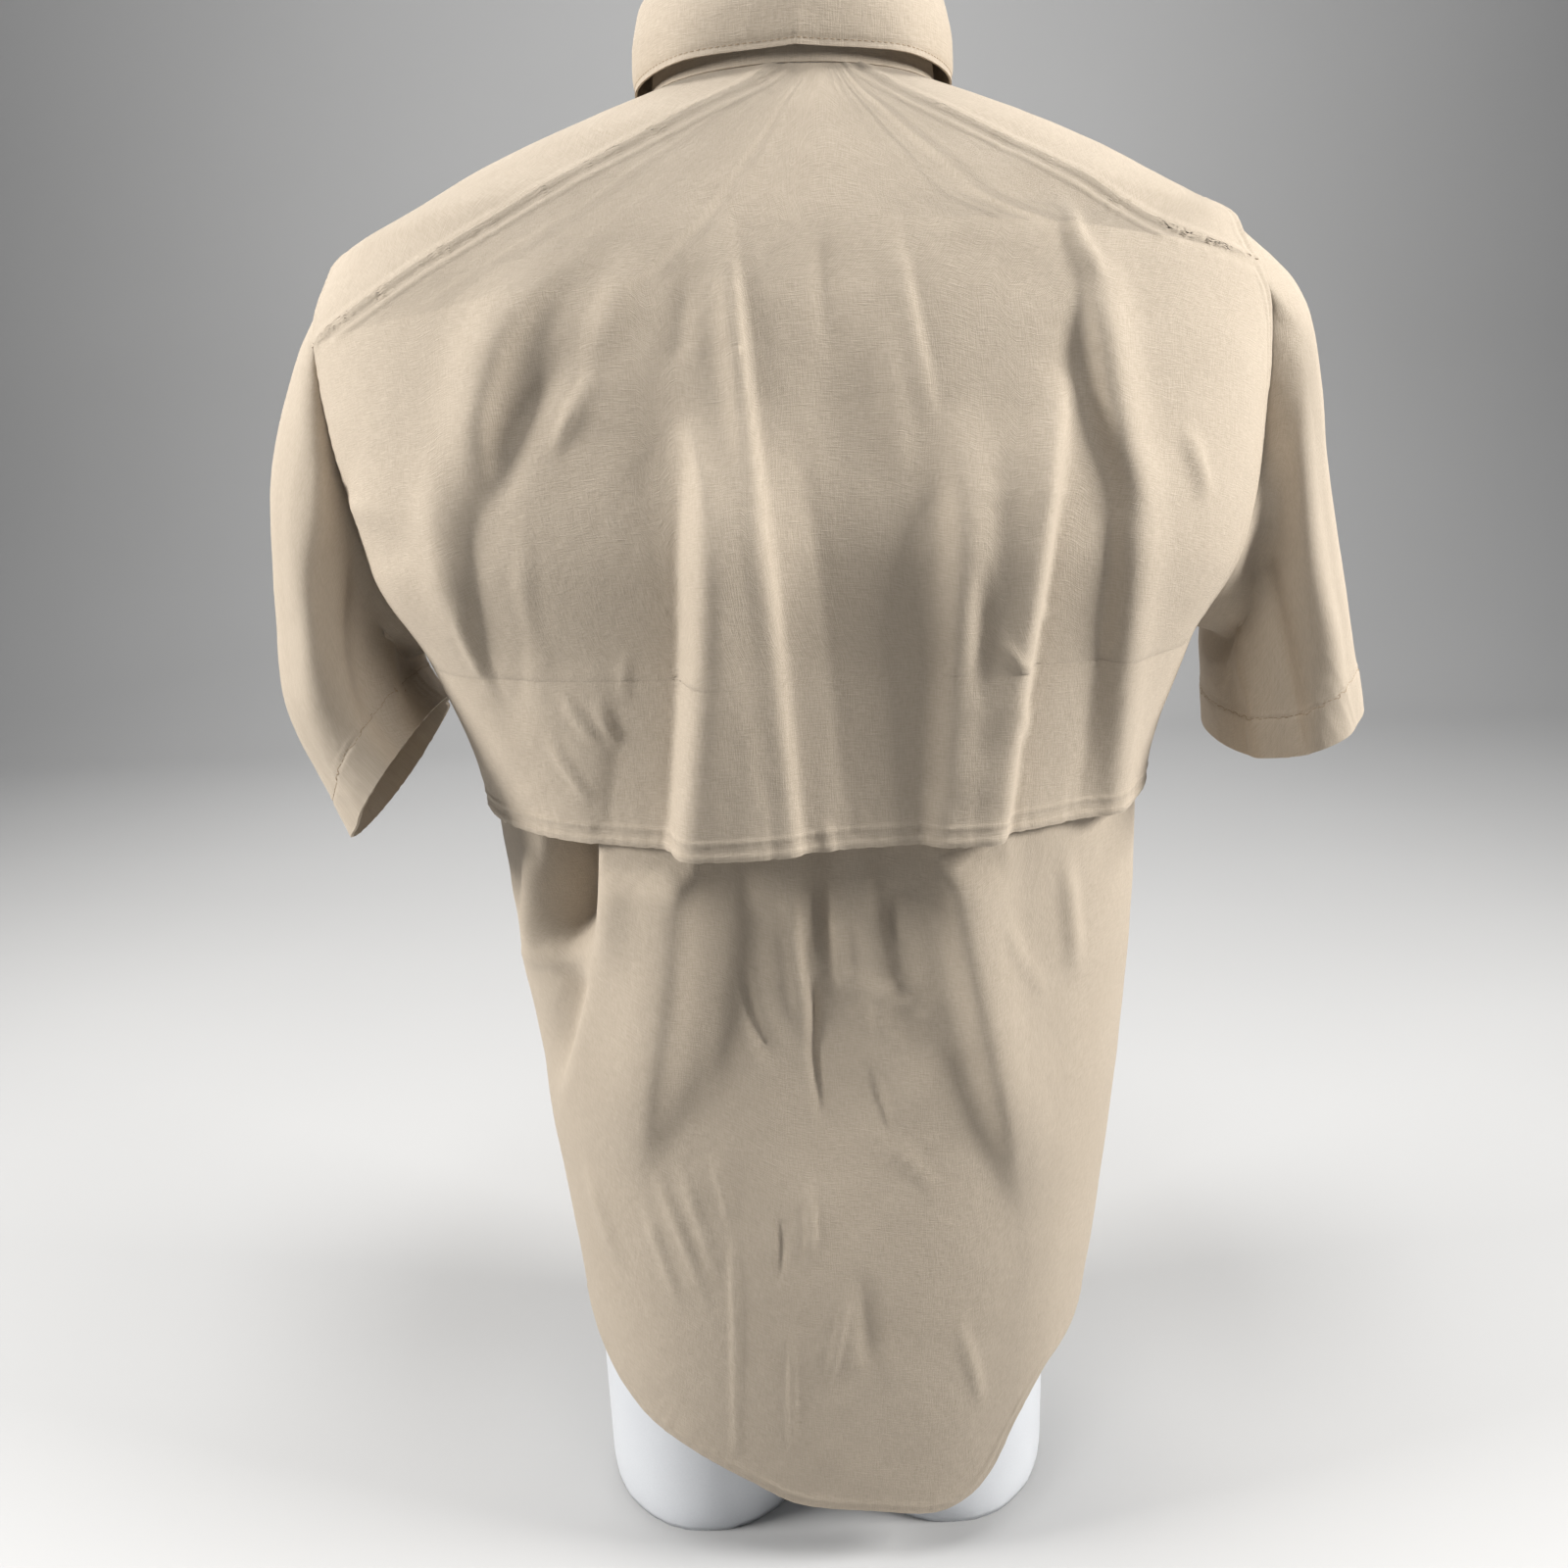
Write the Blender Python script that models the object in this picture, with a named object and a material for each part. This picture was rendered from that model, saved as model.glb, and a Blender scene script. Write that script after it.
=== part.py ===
"""Short-sleeve button-down shirt with a caped back, on an armless torso form.

Metres, +Z up. The fronts face -Y, the wearer's left side is +X, and the form stands on z = 0.

The shirt's body is one smooth skin, read at a girth and a level. Girth is 0 at the centre back, 1 at
the wearer's left side, 2 at the centre front and -1 at the right side, and it is even along the arc in
between. Level is the height of a horizontal section, and above the underarm the sections tilt until
they lie on the shoulders. Every panel is a patch of that skin between its own four edges.
"""

import math

import bmesh
import bpy
import numpy as np
from mathutils import Matrix, Vector

COLLECTION_NAME = "shirt_on_torso_form"
CENTRE_SHIFT = (0.006, -0.0195, 0.0)

WALL = 0.0015
HALF_SEAM = 0.0002
CAPE_LIFT = 0.0026
CAPE_SPREAD = 0.0080
CAPE_SINK_SHARE = 0.45
PLACKET_LIFT = 0.0026

LOWEST_LEVEL = 0.030
UNDERARM_LEVEL = 0.565
SHOULDER_LEVEL = 0.792
NECK_LEVEL = 0.845
CAPE_HEM_LEVEL = 0.476
CAPE_FREE_LEVEL = 0.615
CAPE_SEWN_LEVEL = 0.700
HEM_EASE_LEVEL = 0.440

SKIRT_ROWS = 9
WAIST_ROWS = 3
CHEST_ROWS = 6
NECKLINE_STEPS = {1.0: 10, -1.0: 9}
BACK_COLUMNS = 30

ARMHOLE_STEP = 15
SEAM_END_TURN = {1.0: 60, -1.0: 45}
SEAM_STEPS = {1.0: 11, -1.0: 10}
BACK_TOP_TURN = 135

FRONT_EDGE_X = 0.013
PLACKET_HALF_WIDTH = 0.016
PLACKET_COLUMNS = 3

STAND_HEIGHT_BACK = 0.034
STAND_HEIGHT_FRONT = 0.027
STAND_LEAN = 0.05
STAND_FOOT_GAP = 0.0005
STAND_ROWS = 3
LEAF_END_GIRTH = 1.90
LEAF_COLUMNS = 28
LEAF_FALL_ROWS = 4
LEAF_BULGE = 0.0025

BUTTON_RADIUS = 0.0055
BUTTON_THICKNESS = 0.0026
BUTTON_RIM = 0.0008
BUTTON_TOP_Z = 0.750
BUTTON_SPACING = 0.096
BUTTON_COUNT = 7
BUTTON_SEAT_GAP = 0.0004
STAND_BUTTON_SINK = 0.0006
BUTTON_SIDES = 16

SLEEVE_STEPS = 9
SLEEVE_GAP = 0.0008

STUMP_CENTRE_X = {1.0: 0.083, -1.0: -0.073}
STUMP_CENTRE_Y = 0.014
STUMP_HALF_WIDTH = 0.070
STUMP_HALF_DEPTH = 0.082
STUMP_HEIGHT = 0.130
FORM_COLUMNS = 36
FORM_ROWS_BELOW_REST = 14
FORM_ROWS_FROM_REST = 9
FORM_REST_CLEARANCE = 0.0030

BODY_COLUMNS = (
    "level", "x_mid", "half_width", "y_back", "y_front", "z_back", "z_side", "z_front", "squareness"
)
SHIRT_RINGS = (
    (0.030, -0.001, 0.148, 0.124, -0.100, 0.030, 0.030, 0.030, 2.7),
    (0.120, -0.003, 0.160, 0.128, -0.104, 0.120, 0.120, 0.120, 2.6),
    (0.200, -0.005, 0.170, 0.129, -0.108, 0.200, 0.200, 0.200, 2.4),
    (0.300, -0.005, 0.181, 0.128, -0.110, 0.300, 0.300, 0.300, 2.2),
    (0.400, -0.004, 0.188, 0.126, -0.110, 0.400, 0.400, 0.400, 2.1),
    (0.480, -0.001, 0.191, 0.125, -0.112, 0.480, 0.480, 0.480, 2.1),
    (0.565, 0.000, 0.212, 0.129, -0.114, 0.568, 0.565, 0.565, 2.4),
    (0.620, 0.001, 0.235, 0.134, -0.114, 0.630, 0.612, 0.620, 2.6),
    (0.680, 0.003, 0.251, 0.130, -0.110, 0.700, 0.672, 0.680, 2.6),
    (0.740, 0.004, 0.256, 0.114, -0.098, 0.765, 0.735, 0.730, 2.5),
    (0.780, 0.003, 0.244, 0.098, -0.085, 0.802, 0.770, 0.764, 2.4),
    (0.795, 0.002, 0.204, 0.090, -0.079, 0.817, 0.793, 0.777, 2.3),
    (0.810, 0.001, 0.163, 0.083, -0.074, 0.830, 0.814, 0.788, 2.2),
    (0.828, 0.000, 0.116, 0.076, -0.071, 0.840, 0.833, 0.800, 2.1),
    (0.845, 0.000, 0.073, 0.071, -0.068, 0.849, 0.848, 0.812, 2.0),
)

FORM_RINGS = (
    (0.070, 0.004, 0.146, 0.092, -0.078, 0.070, 0.070, 0.070, 2.2),
    (0.120, 0.004, 0.146, 0.097, -0.084, 0.120, 0.120, 0.120, 2.2),
    (0.200, 0.003, 0.146, 0.098, -0.086, 0.200, 0.200, 0.200, 2.2),
    (0.300, 0.001, 0.141, 0.088, -0.083, 0.300, 0.300, 0.300, 2.1),
    (0.400, 0.000, 0.135, 0.084, -0.082, 0.400, 0.400, 0.400, 2.1),
    (0.500, 0.000, 0.150, 0.094, -0.090, 0.500, 0.500, 0.500, 2.1),
    (0.600, 0.000, 0.172, 0.104, -0.098, 0.605, 0.600, 0.600, 2.3),
    (0.680, 0.000, 0.184, 0.102, -0.094, 0.692, 0.672, 0.675, 2.6),
    (0.740, 0.000, 0.190, 0.092, -0.082, 0.752, 0.735, 0.725, 2.8),
    (0.780, 0.000, 0.182, 0.082, -0.070, 0.786, 0.766, 0.752, 2.5),
    (0.800, 0.000, 0.158, 0.078, -0.067, 0.804, 0.788, 0.768, 2.3),
    (0.820, 0.000, 0.112, 0.070, -0.062, 0.822, 0.812, 0.784, 2.1),
    (0.845, 0.000, 0.058, 0.058, -0.056, 0.842, 0.842, 0.806, 2.0),
    (0.885, 0.000, 0.054, 0.054, -0.052, 0.885, 0.885, 0.885, 2.0),
)
FORM_REST_FROM = (0.798, 0.808)
FORM_REST_TO = (0.824, 0.840)

EDGE_COLUMNS = ("girth", "level")
HEM_EDGE = (
    (-2.10, 0.060),
    (-1.55, 0.080),
    (-1.20, 0.128),
    (-1.00, 0.138),
    (-0.80, 0.136),
    (-0.58, 0.124),
    (-0.475, 0.093),
    (-0.41, 0.059),
    (-0.35, 0.044),
    (-0.26, 0.037),
    (-0.10, 0.043),
    (0.10, 0.050),
    (0.25, 0.069),
    (0.41, 0.087),
    (0.52, 0.098),
    (0.83, 0.141),
    (1.00, 0.150),
    (1.20, 0.138),
    (1.55, 0.084),
    (2.10, 0.060),
)
SHOULDER_SEAM = {
    1.0: ((0.095, 0.845), (0.220, 0.818), (0.330, 0.797), (0.420, 0.782), (0.570, 0.762), (0.730, 0.744)),
    -1.0: ((0.280, 0.845), (0.315, 0.819), (0.390, 0.801), (0.475, 0.784), (0.605, 0.765)),
}

ARMHOLE_COLUMNS = ("turn", "back_left", "back_right", "front")
ARMHOLE_REACH = (
    (0, 0.000, 0.000, 0.000),
    (15, 0.060, 0.140, 0.100),
    (30, 0.085, 0.190, 0.160),
    (45, 0.095, 0.190, 0.190),
    (60, 0.100, 0.150, 0.210),
    (90, 0.110, 0.130, 0.230),
    (120, 0.120, 0.190, 0.220),
    (150, 0.120, 0.150, 0.160),
    (165, 0.080, 0.090, 0.100),
    (180, 0.000, 0.000, 0.000),
)

SLEEVE_COLUMNS = ("along", "x_top", "z_top", "x_low", "z_low", "half_depth", "y_mid", "squareness")
SLEEVE_LEFT = (
    (0.25, 0.276, 0.732, 0.2360, 0.5560, 0.056, -0.008, 2.0),
    (0.50, 0.298, 0.655, 0.2320, 0.5500, 0.064, 0.000, 2.0),
    (0.75, 0.300, 0.562, 0.2260, 0.5420, 0.072, 0.010, 2.1),
    (1.00, 0.265, 0.464, 0.2170, 0.5340, 0.078, 0.018, 2.2),
)
SLEEVE_RIGHT = (
    (0.25, 0.272, 0.742, 0.2440, 0.5520, 0.052, -0.004, 2.6),
    (0.50, 0.291, 0.654, 0.2380, 0.5370, 0.064, -0.002, 2.0),
    (0.75, 0.302, 0.588, 0.2400, 0.5180, 0.072, 0.002, 2.1),
    (1.00, 0.312, 0.524, 0.2430, 0.4920, 0.080, 0.006, 2.2),
)

LEAF_EDGE_COLUMNS = ("girth", "x", "y", "z")
LEAF_EDGE = (
    (0.00, 0.000, 0.0780, 0.8560),
    (0.50, 0.0525, 0.0632, 0.8540),
    (1.00, 0.081, 0.0050, 0.8500),
    (1.40, 0.079, -0.0450, 0.8360),
    (1.70, 0.067, -0.0820, 0.8030),
    (1.90, 0.056, -0.0960, 0.7630),
)
LEAF_FOLD_COLUMNS = ("out", "up")
LEAF_FOLD = (
    (0.0000, 0.0006),
    (0.0008, 0.0060),
    (0.0040, 0.0098),
    (0.0075, 0.0065),
)

FOLD_COLUMNS = ("x_top", "z_top", "x_mid", "z_mid", "x_low", "z_low", "width", "height", "head", "tail")
CAPE_FOLDS = (
    (0.038, 0.711, 0.037, 0.595, 0.037, 0.471, 0.026, 0.012, 0.0, 1.0),
    (0.048, 0.693, 0.052, 0.595, 0.065, 0.471, 0.011, 0.009, 0.0, 1.0),
    (0.074, 0.724, 0.070, 0.614, 0.089, 0.480, 0.016, -0.012, 0.0, 1.0),
    (0.099, 0.695, 0.109, 0.633, 0.125, 0.522, 0.026, -0.006, 0.0, 0.0),
    (-0.006, 0.742, -0.021, 0.620, -0.033, 0.473, 0.024, -0.009, 0.0, 1.0),
    (-0.072, 0.698, -0.068, 0.605, -0.060, 0.476, 0.012, 0.009, 0.0, 1.0),
    (-0.118, 0.709, -0.103, 0.626, -0.085, 0.479, 0.011, 0.011, 0.0, 1.0),
    (-0.131, 0.682, -0.122, 0.587, -0.111, 0.479, 0.016, -0.012, 0.0, 1.0),
    (-0.152, 0.676, -0.151, 0.605, -0.153, 0.480, 0.011, 0.007, 0.0, 1.0),
    (-0.137, 0.777, -0.141, 0.696, -0.160, 0.631, 0.0095, 0.0085, 0.0, 0.0),
    (-0.123, 0.739, -0.131, 0.691, -0.133, 0.651, 0.010, -0.004, 0.0, 0.0),
    (0.100, 0.773, 0.149, 0.712, 0.152, 0.634, 0.013, 0.009, 0.0, 0.0),
    (0.107, 0.735, 0.138, 0.686, 0.146, 0.642, 0.010, -0.006, 0.0, 0.0),
    (0.145, 0.673, 0.156, 0.616, 0.148, 0.513, 0.011, -0.007, 0.0, 0.0),
    (0.181, 0.688, 0.177, 0.634, 0.171, 0.568, 0.012, 0.005, 0.0, 0.0),
    (0.210, 0.698, 0.248, 0.646, 0.206, 0.633, 0.010, -0.005, 0.0, 0.5),
)
BACK_FOLDS = (
    (0.133, 0.505, 0.139, 0.444, 0.149, 0.388, 0.011, -0.03, 1.0, 0.1),
    (0.134, 0.396, 0.147, 0.359, 0.173, 0.277, 0.009, -0.01, 0.2, 0.0),
    (0.111, 0.508, 0.113, 0.450, 0.126, 0.390, 0.010, 0.006, 1.0, 0.0),
    (0.154, 0.501, 0.159, 0.440, 0.179, 0.348, 0.007, 0.009, 1.0, 0.0),
    (0.074, 0.509, 0.086, 0.380, 0.120, 0.257, 0.020, 0.012, 1.0, 0.0),
    (-0.002, 0.509, 0.001, 0.383, 0.001, 0.198, 0.040, -0.011, 1.0, 0.0),
    (0.047, 0.511, 0.052, 0.399, 0.072, 0.291, 0.012, -0.005, 1.0, 0.0),
    (0.003, 0.509, 0.002, 0.456, 0.004, 0.401, 0.0075, -0.006, 1.0, 0.0),
    (-0.032, 0.508, -0.037, 0.431, -0.057, 0.319, 0.013, -0.006, 1.0, 0.0),
    (-0.063, 0.505, -0.086, 0.363, -0.119, 0.229, 0.017, 0.012, 1.0, 0.0),
)
FRONT_FOLDS = (
    (0.108, 0.730, 0.098, 0.560, 0.104, 0.260, 0.018, -0.006, 0.0, 0.0),
    (0.140, 0.660, 0.138, 0.480, 0.128, 0.200, 0.014, 0.005, 0.0, 0.0),
    (0.064, 0.600, 0.060, 0.420, 0.066, 0.100, 0.014, 0.004, 0.0, 0.6),
    (-0.112, 0.730, -0.104, 0.580, -0.108, 0.300, 0.018, -0.006, 0.0, 0.0),
    (-0.146, 0.640, -0.140, 0.460, -0.132, 0.210, 0.014, 0.005, 0.0, 0.0),
    (-0.070, 0.560, -0.066, 0.380, -0.072, 0.100, 0.014, 0.004, 0.0, 0.6),
)

CLOTH_COLOUR = (0.60, 0.47, 0.34, 1.0)
BUTTON_COLOUR = (0.42, 0.31, 0.20, 1.0)
PLASTIC_COLOUR = (0.82, 0.83, 0.85, 1.0)


def column(columns, rows, name):
    """Return one named column of a table."""
    return np.array([row[columns.index(name)] for row in rows])


def smooth_lookup(at, knots, values):
    """Read a smooth curve through (knots, values) that never overshoots between two of them."""
    steps = np.diff(knots)
    rises = np.diff(values) / steps
    slopes = np.zeros(len(knots))
    slopes[0], slopes[-1] = rises[0], rises[-1]
    same_way = rises[:-1] * rises[1:] > 0.0
    before = np.where(same_way, rises[:-1], 1.0)
    after = np.where(same_way, rises[1:], 1.0)
    slopes[1:-1] = np.where(same_way, 2.0 * before * after / (before + after), 0.0)
    at = np.clip(at, knots[0], knots[-1])
    cell = np.clip(np.searchsorted(knots, at, side="right") - 1, 0, len(knots) - 2)
    part = (at - knots[cell]) / steps[cell]
    rest = 1.0 - part
    return (
        (1.0 + 2.0 * part) * rest**2 * values[cell]
        + part * rest**2 * steps[cell] * slopes[cell]
        + part**2 * (3.0 - 2.0 * part) * values[cell + 1]
        - part**2 * rest * steps[cell] * slopes[cell + 1]
    )


def table_curve(columns, rows, key, name, at):
    """Read column name of a table where its column key has the value at."""
    return smooth_lookup(at, column(columns, rows, key), column(columns, rows, name))


def ease(low, high, at):
    """Rise smoothly from 0 at low to 1 at high."""
    part = np.clip((np.asarray(at) - low) / (high - low), 0.0, 1.0)
    return part * part * (3.0 - 2.0 * part)


def at_cell(values, cell, part):
    """Interpolate along the last axis, part of the way from cell to the one after it."""
    low = np.take_along_axis(values, cell, -1)[..., 0]
    high = np.take_along_axis(values, cell + 1, -1)[..., 0]
    return low + (high - low) * part


def quarter_arc(fraction, half_width, depth, squareness):
    """Return x, y and the arc's length, at a share of the way from a section's centre line to its side."""
    turn = np.linspace(0.0, math.pi / 2.0, 33)
    power = 2.0 / squareness[..., None]
    xs = half_width[..., None] * np.sin(turn) ** power
    ys = depth[..., None] * np.clip(np.cos(turn), 0.0, 1.0) ** power
    lengths = np.hypot(np.diff(xs), np.diff(ys))
    travelled = np.concatenate([np.zeros_like(lengths[..., :1]), np.cumsum(lengths, axis=-1)], axis=-1)
    wanted = fraction[..., None] * travelled[..., -1:]
    cell = np.clip(np.sum(travelled <= wanted, axis=-1) - 1, 0, len(turn) - 2)[..., None]
    part = ((wanted - np.take_along_axis(travelled, cell, -1)) / np.take_along_axis(lengths, cell, -1))[..., 0]
    return at_cell(xs, cell, part), at_cell(ys, cell, part), travelled[..., -1]


def ring_point(rings, girth, level):
    """Return the point of a body of rings at a girth and a level."""
    girth, level = np.broadcast_arrays(np.asarray(girth, float), np.asarray(level, float))
    girth = (girth + 2.0) % 4.0 - 2.0
    behind = np.abs(girth) <= 1.0
    size = {name: table_curve(BODY_COLUMNS, rings, "level", name, level) for name in BODY_COLUMNS[1:]}
    depth = np.where(behind, size["y_back"], size["y_front"])
    fraction = np.where(behind, np.abs(girth), 2.0 - np.abs(girth))
    x, y, _ = quarter_arc(fraction, size["half_width"], depth, size["squareness"])
    share = (x / size["half_width"]) ** 2
    z_centre = np.where(behind, size["z_back"], size["z_front"])
    z = z_centre + (size["z_side"] - z_centre) * share
    return np.stack([size["x_mid"] + np.where(girth < 0.0, -x, x), y, z], axis=-1)


def front_offset(x, level):
    """Return how much girth lies between the centre front and a place x metres beside it."""
    level = np.asarray(level, float)
    size = {name: table_curve(BODY_COLUMNS, SHIRT_RINGS, "level", name, level) for name in BODY_COLUMNS[1:]}
    length = quarter_arc(np.ones_like(level), size["half_width"], size["y_front"], size["squareness"])[2]
    return x / length


def surface_normal(surface, girth, level):
    """Return the outward unit normal of surface(girth, level)."""
    girth_step, level_step = 0.002, 0.0005
    girth, level = np.broadcast_arrays(np.asarray(girth, float), np.asarray(level, float))
    along = surface(girth + girth_step, level) - surface(girth - girth_step, level)
    high = np.minimum(level + level_step, NECK_LEVEL)
    low = np.maximum(level - level_step, LOWEST_LEVEL)
    normal = np.cross(surface(girth, high) - surface(girth, low), along)
    return normal / np.linalg.norm(normal, axis=-1, keepdims=True)


def curve_nearness(x, z, xs, zs, width):
    """Return 1 on a polyline, falling off like a bell, and the place of the nearest point along it."""
    gap = np.full_like(x, np.inf)
    place = np.zeros_like(x)
    for index in range(len(xs) - 1):
        dx, dz = xs[index + 1] - xs[index], zs[index + 1] - zs[index]
        part = np.clip(((x - xs[index]) * dx + (z - zs[index]) * dz) / (dx * dx + dz * dz), 0.0, 1.0)
        distance = np.hypot(x - xs[index] - part * dx, z - zs[index] - part * dz)
        nearer = distance < gap
        gap = np.where(nearer, distance, gap)
        place = np.where(nearer, (index + part) / (len(xs) - 1), place)
    return np.exp(-((gap / width) ** 2)), place


def fold_height(x, z, folds):
    """Add up the folds of a table at the place x, z of the cloth, outward positive."""
    total = np.zeros_like(x)
    along = np.linspace(0.0, 1.0, 13)
    for row in folds:
        fold = dict(zip(FOLD_COLUMNS, row))
        route = {}
        for axis in ("x", "z"):
            top, middle, low = (fold[axis + end] for end in ("_top", "_mid", "_low"))
            pull = 2.0 * middle - (top + low) / 2.0
            route[axis] = (1 - along) ** 2 * top + 2 * along * (1 - along) * pull + along**2 * low
        bell, place = curve_nearness(x, z, route["x"], route["z"], fold["width"])
        head = fold["head"] + (1.0 - fold["head"]) * ease(0.0, 0.4, place)
        tail = fold["tail"] + (1.0 - fold["tail"]) * ease(1.0, 0.6, place)
        total += fold["height"] * bell * head * tail
    return total


def plain_skin(girth, level):
    """Return the shirt's skin without folds."""
    return ring_point(SHIRT_RINGS, girth, level)


def folded_skin(girth, level, lift, folds):
    """Return the skin moved out by a lift and by the height of its folds."""
    base = plain_skin(girth, level)
    out = lift + fold_height(base[..., 0], base[..., 2], folds)
    return base + surface_normal(plain_skin, girth, level) * out[..., None]


def cape_spread(girth, level):
    """Return how far the cape swings out from the back panel between its side seams."""
    return CAPE_SPREAD * (1.0 - np.abs(girth) ** 3) * (1.0 - ease(CAPE_FREE_LEVEL, CAPE_SEWN_LEVEL, level))


def back_skin(girth, level):
    """Return the lower back's outer skin, whose ridges stay under the cape where it hides them."""
    base = plain_skin(girth, level)
    height = fold_height(base[..., 0], base[..., 2], BACK_FOLDS)
    room = CAPE_SINK_SHARE * cape_spread(np.clip(girth, -1.0, 1.0), level)
    covered = ease(CAPE_HEM_LEVEL - 0.030, CAPE_HEM_LEVEL - 0.010, level)
    height = height - covered * np.maximum(height - room, 0.0)
    return base + surface_normal(plain_skin, girth, level) * height[..., None]


def cape_skin(girth, level):
    """Return the cape's outer skin, which hangs free below and is sewn to the armholes above."""
    base = plain_skin(girth, level)
    height = fold_height(base[..., 0], base[..., 2], CAPE_FOLDS)
    spread = cape_spread(np.clip(girth, -1.0, 1.0), level)
    free = 1.0 - ease(CAPE_FREE_LEVEL, CAPE_SEWN_LEVEL, level)
    height = height + free * np.maximum(-CAPE_SINK_SHARE * spread - height, 0.0)
    out = height + CAPE_LIFT * free + spread
    return base + surface_normal(plain_skin, girth, level) * out[..., None]


def front_skin(girth, level):
    """Return the fronts' outer skin."""
    return folded_skin(girth, level, 0.0, FRONT_FOLDS)


def placket_skin(girth, level):
    """Return the placket's outer skin, which lies on the fronts."""
    return folded_skin(girth, level, PLACKET_LIFT, FRONT_FOLDS)


def hem_level(girth):
    """Return the level of the shirt-tail hem."""
    return table_curve(EDGE_COLUMNS, HEM_EDGE, "girth", "level", girth)


def side_levels(start):
    """Return the levels of a vertical edge from its hem to the underarm."""
    skirt = np.linspace(start, CAPE_HEM_LEVEL, SKIRT_ROWS + 1)
    waist = np.linspace(CAPE_HEM_LEVEL, UNDERARM_LEVEL, WAIST_ROWS + 1)
    return np.concatenate([skirt, waist[1:]])


def armhole_place(turn, side):
    """Return left-hand girth and level on an armhole, turn in degrees from its top down the back."""
    turn = np.asarray(turn, float) % 360.0
    middle = (UNDERARM_LEVEL + SHOULDER_LEVEL) / 2.0
    half = (SHOULDER_LEVEL - UNDERARM_LEVEL) / 2.0
    back_name = "back_left" if side > 0.0 else "back_right"
    back = table_curve(ARMHOLE_COLUMNS, ARMHOLE_REACH, "turn", back_name, turn)
    front = table_curve(ARMHOLE_COLUMNS, ARMHOLE_REACH, "turn", "front", 360.0 - turn)
    reach = np.where(turn <= 180.0, -back, front)
    return np.stack([1.0 + reach, middle + half * np.cos(np.radians(turn))], axis=-1)


def seam_places(side):
    """Return left-hand girth and level along a shoulder seam, from the neckline to the armhole."""
    rows = SHOULDER_SEAM[side] + (tuple(armhole_place(SEAM_END_TURN[side], side)),)
    girths = np.linspace(rows[0][0], rows[-1][0], SEAM_STEPS[side] + 1)
    return np.stack([girths, table_curve(EDGE_COLUMNS, rows, "girth", "level", girths)], axis=-1)


def mirrored(places):
    """Return places of the left side on the right side."""
    return places * np.array([-1.0, 1.0])


def patch(near, far, first, last, first_share, last_share):
    """Fill four edges of places: rows run from near to far, bent like first and last by their shares."""
    across = np.linspace(0.0, 1.0, len(first))[None, :, None]
    grid = near[:, None] * (1.0 - across) + far[:, None] * across
    for edge, share in ((first, first_share), (last, last_share)):
        straight = edge[0] * (1.0 - across) + edge[-1] * across
        grid = grid + np.asarray(share)[:, None, None] * (edge[None] - straight)
    return grid


def pulled_in(outer, inner, sides):
    """Move the named sides of a wall's two grids in by half a seam's gap."""
    moves = {"first": (0, 1), "last": (-1, -2)}
    for side in sides:
        for grid in (outer, inner):
            if side in moves:
                edge, beside = (grid[index] for index in moves[side])
            else:
                edge, beside = (grid[:, index] for index in {"near": (0, 1), "far": (-1, -2)}[side])
            step = beside - edge
            edge += step * (HALF_SEAM / np.linalg.norm(step, axis=-1, keepdims=True))
    return outer, inner


def wall_on_skin(skin, places, sides=("first", "last", "near", "far")):
    """Return the outer and inner points of a wall that lies on a skin at a grid of places."""
    girth, level = places[..., 0], places[..., 1]
    outer = skin(girth, level)
    inner = outer - surface_normal(skin, girth, level) * WALL
    return pulled_in(outer, inner, sides)


def grid_normal(grid, closed):
    """Return the unit normals of a grid of points, closed where its last column meets the first."""
    if closed:
        along = np.roll(grid, -1, axis=1) - np.roll(grid, 1, axis=1)
    else:
        along = np.gradient(grid, axis=1)
    normal = np.cross(np.gradient(grid, axis=0), along)
    return normal / np.linalg.norm(normal, axis=-1, keepdims=True)


def cloth_material(name, colour, roughness):
    """Return a plain material of its own for one piece."""
    material = bpy.data.materials.new(name)
    material.use_nodes = True
    shader = material.node_tree.nodes["Principled BSDF"]
    shader.inputs["Base Color"].default_value = colour
    shader.inputs["Roughness"].default_value = roughness
    shader.inputs["Metallic"].default_value = 0.0
    return material


def add_object(name, mesh, colour, roughness):
    """Link a mesh to the object's collection, with its material and smooth shading."""
    mesh.materials.append(cloth_material(name + "_finish", colour, roughness))
    mesh.shade_smooth()
    mesh.set_sharp_from_angle(angle=math.radians(40.0))
    item = bpy.data.objects.new(name, mesh)
    item.location = CENTRE_SHIFT
    bpy.data.collections[COLLECTION_NAME].objects.link(item)
    return item


def add_grid_faces(shape, grid, closed):
    """Add a grid of points to a bmesh, with every cell cut along the same diagonal."""
    verts = [[shape.verts.new(point) for point in row] for row in grid]
    width = len(verts[0])
    for row, above in zip(verts, verts[1:]):
        for index in range(width if closed else width - 1):
            after = (index + 1) % width
            shape.faces.new((row[index], row[after], above[after]))
            shape.faces.new((row[index], above[after], above[index]))
    return verts


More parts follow.
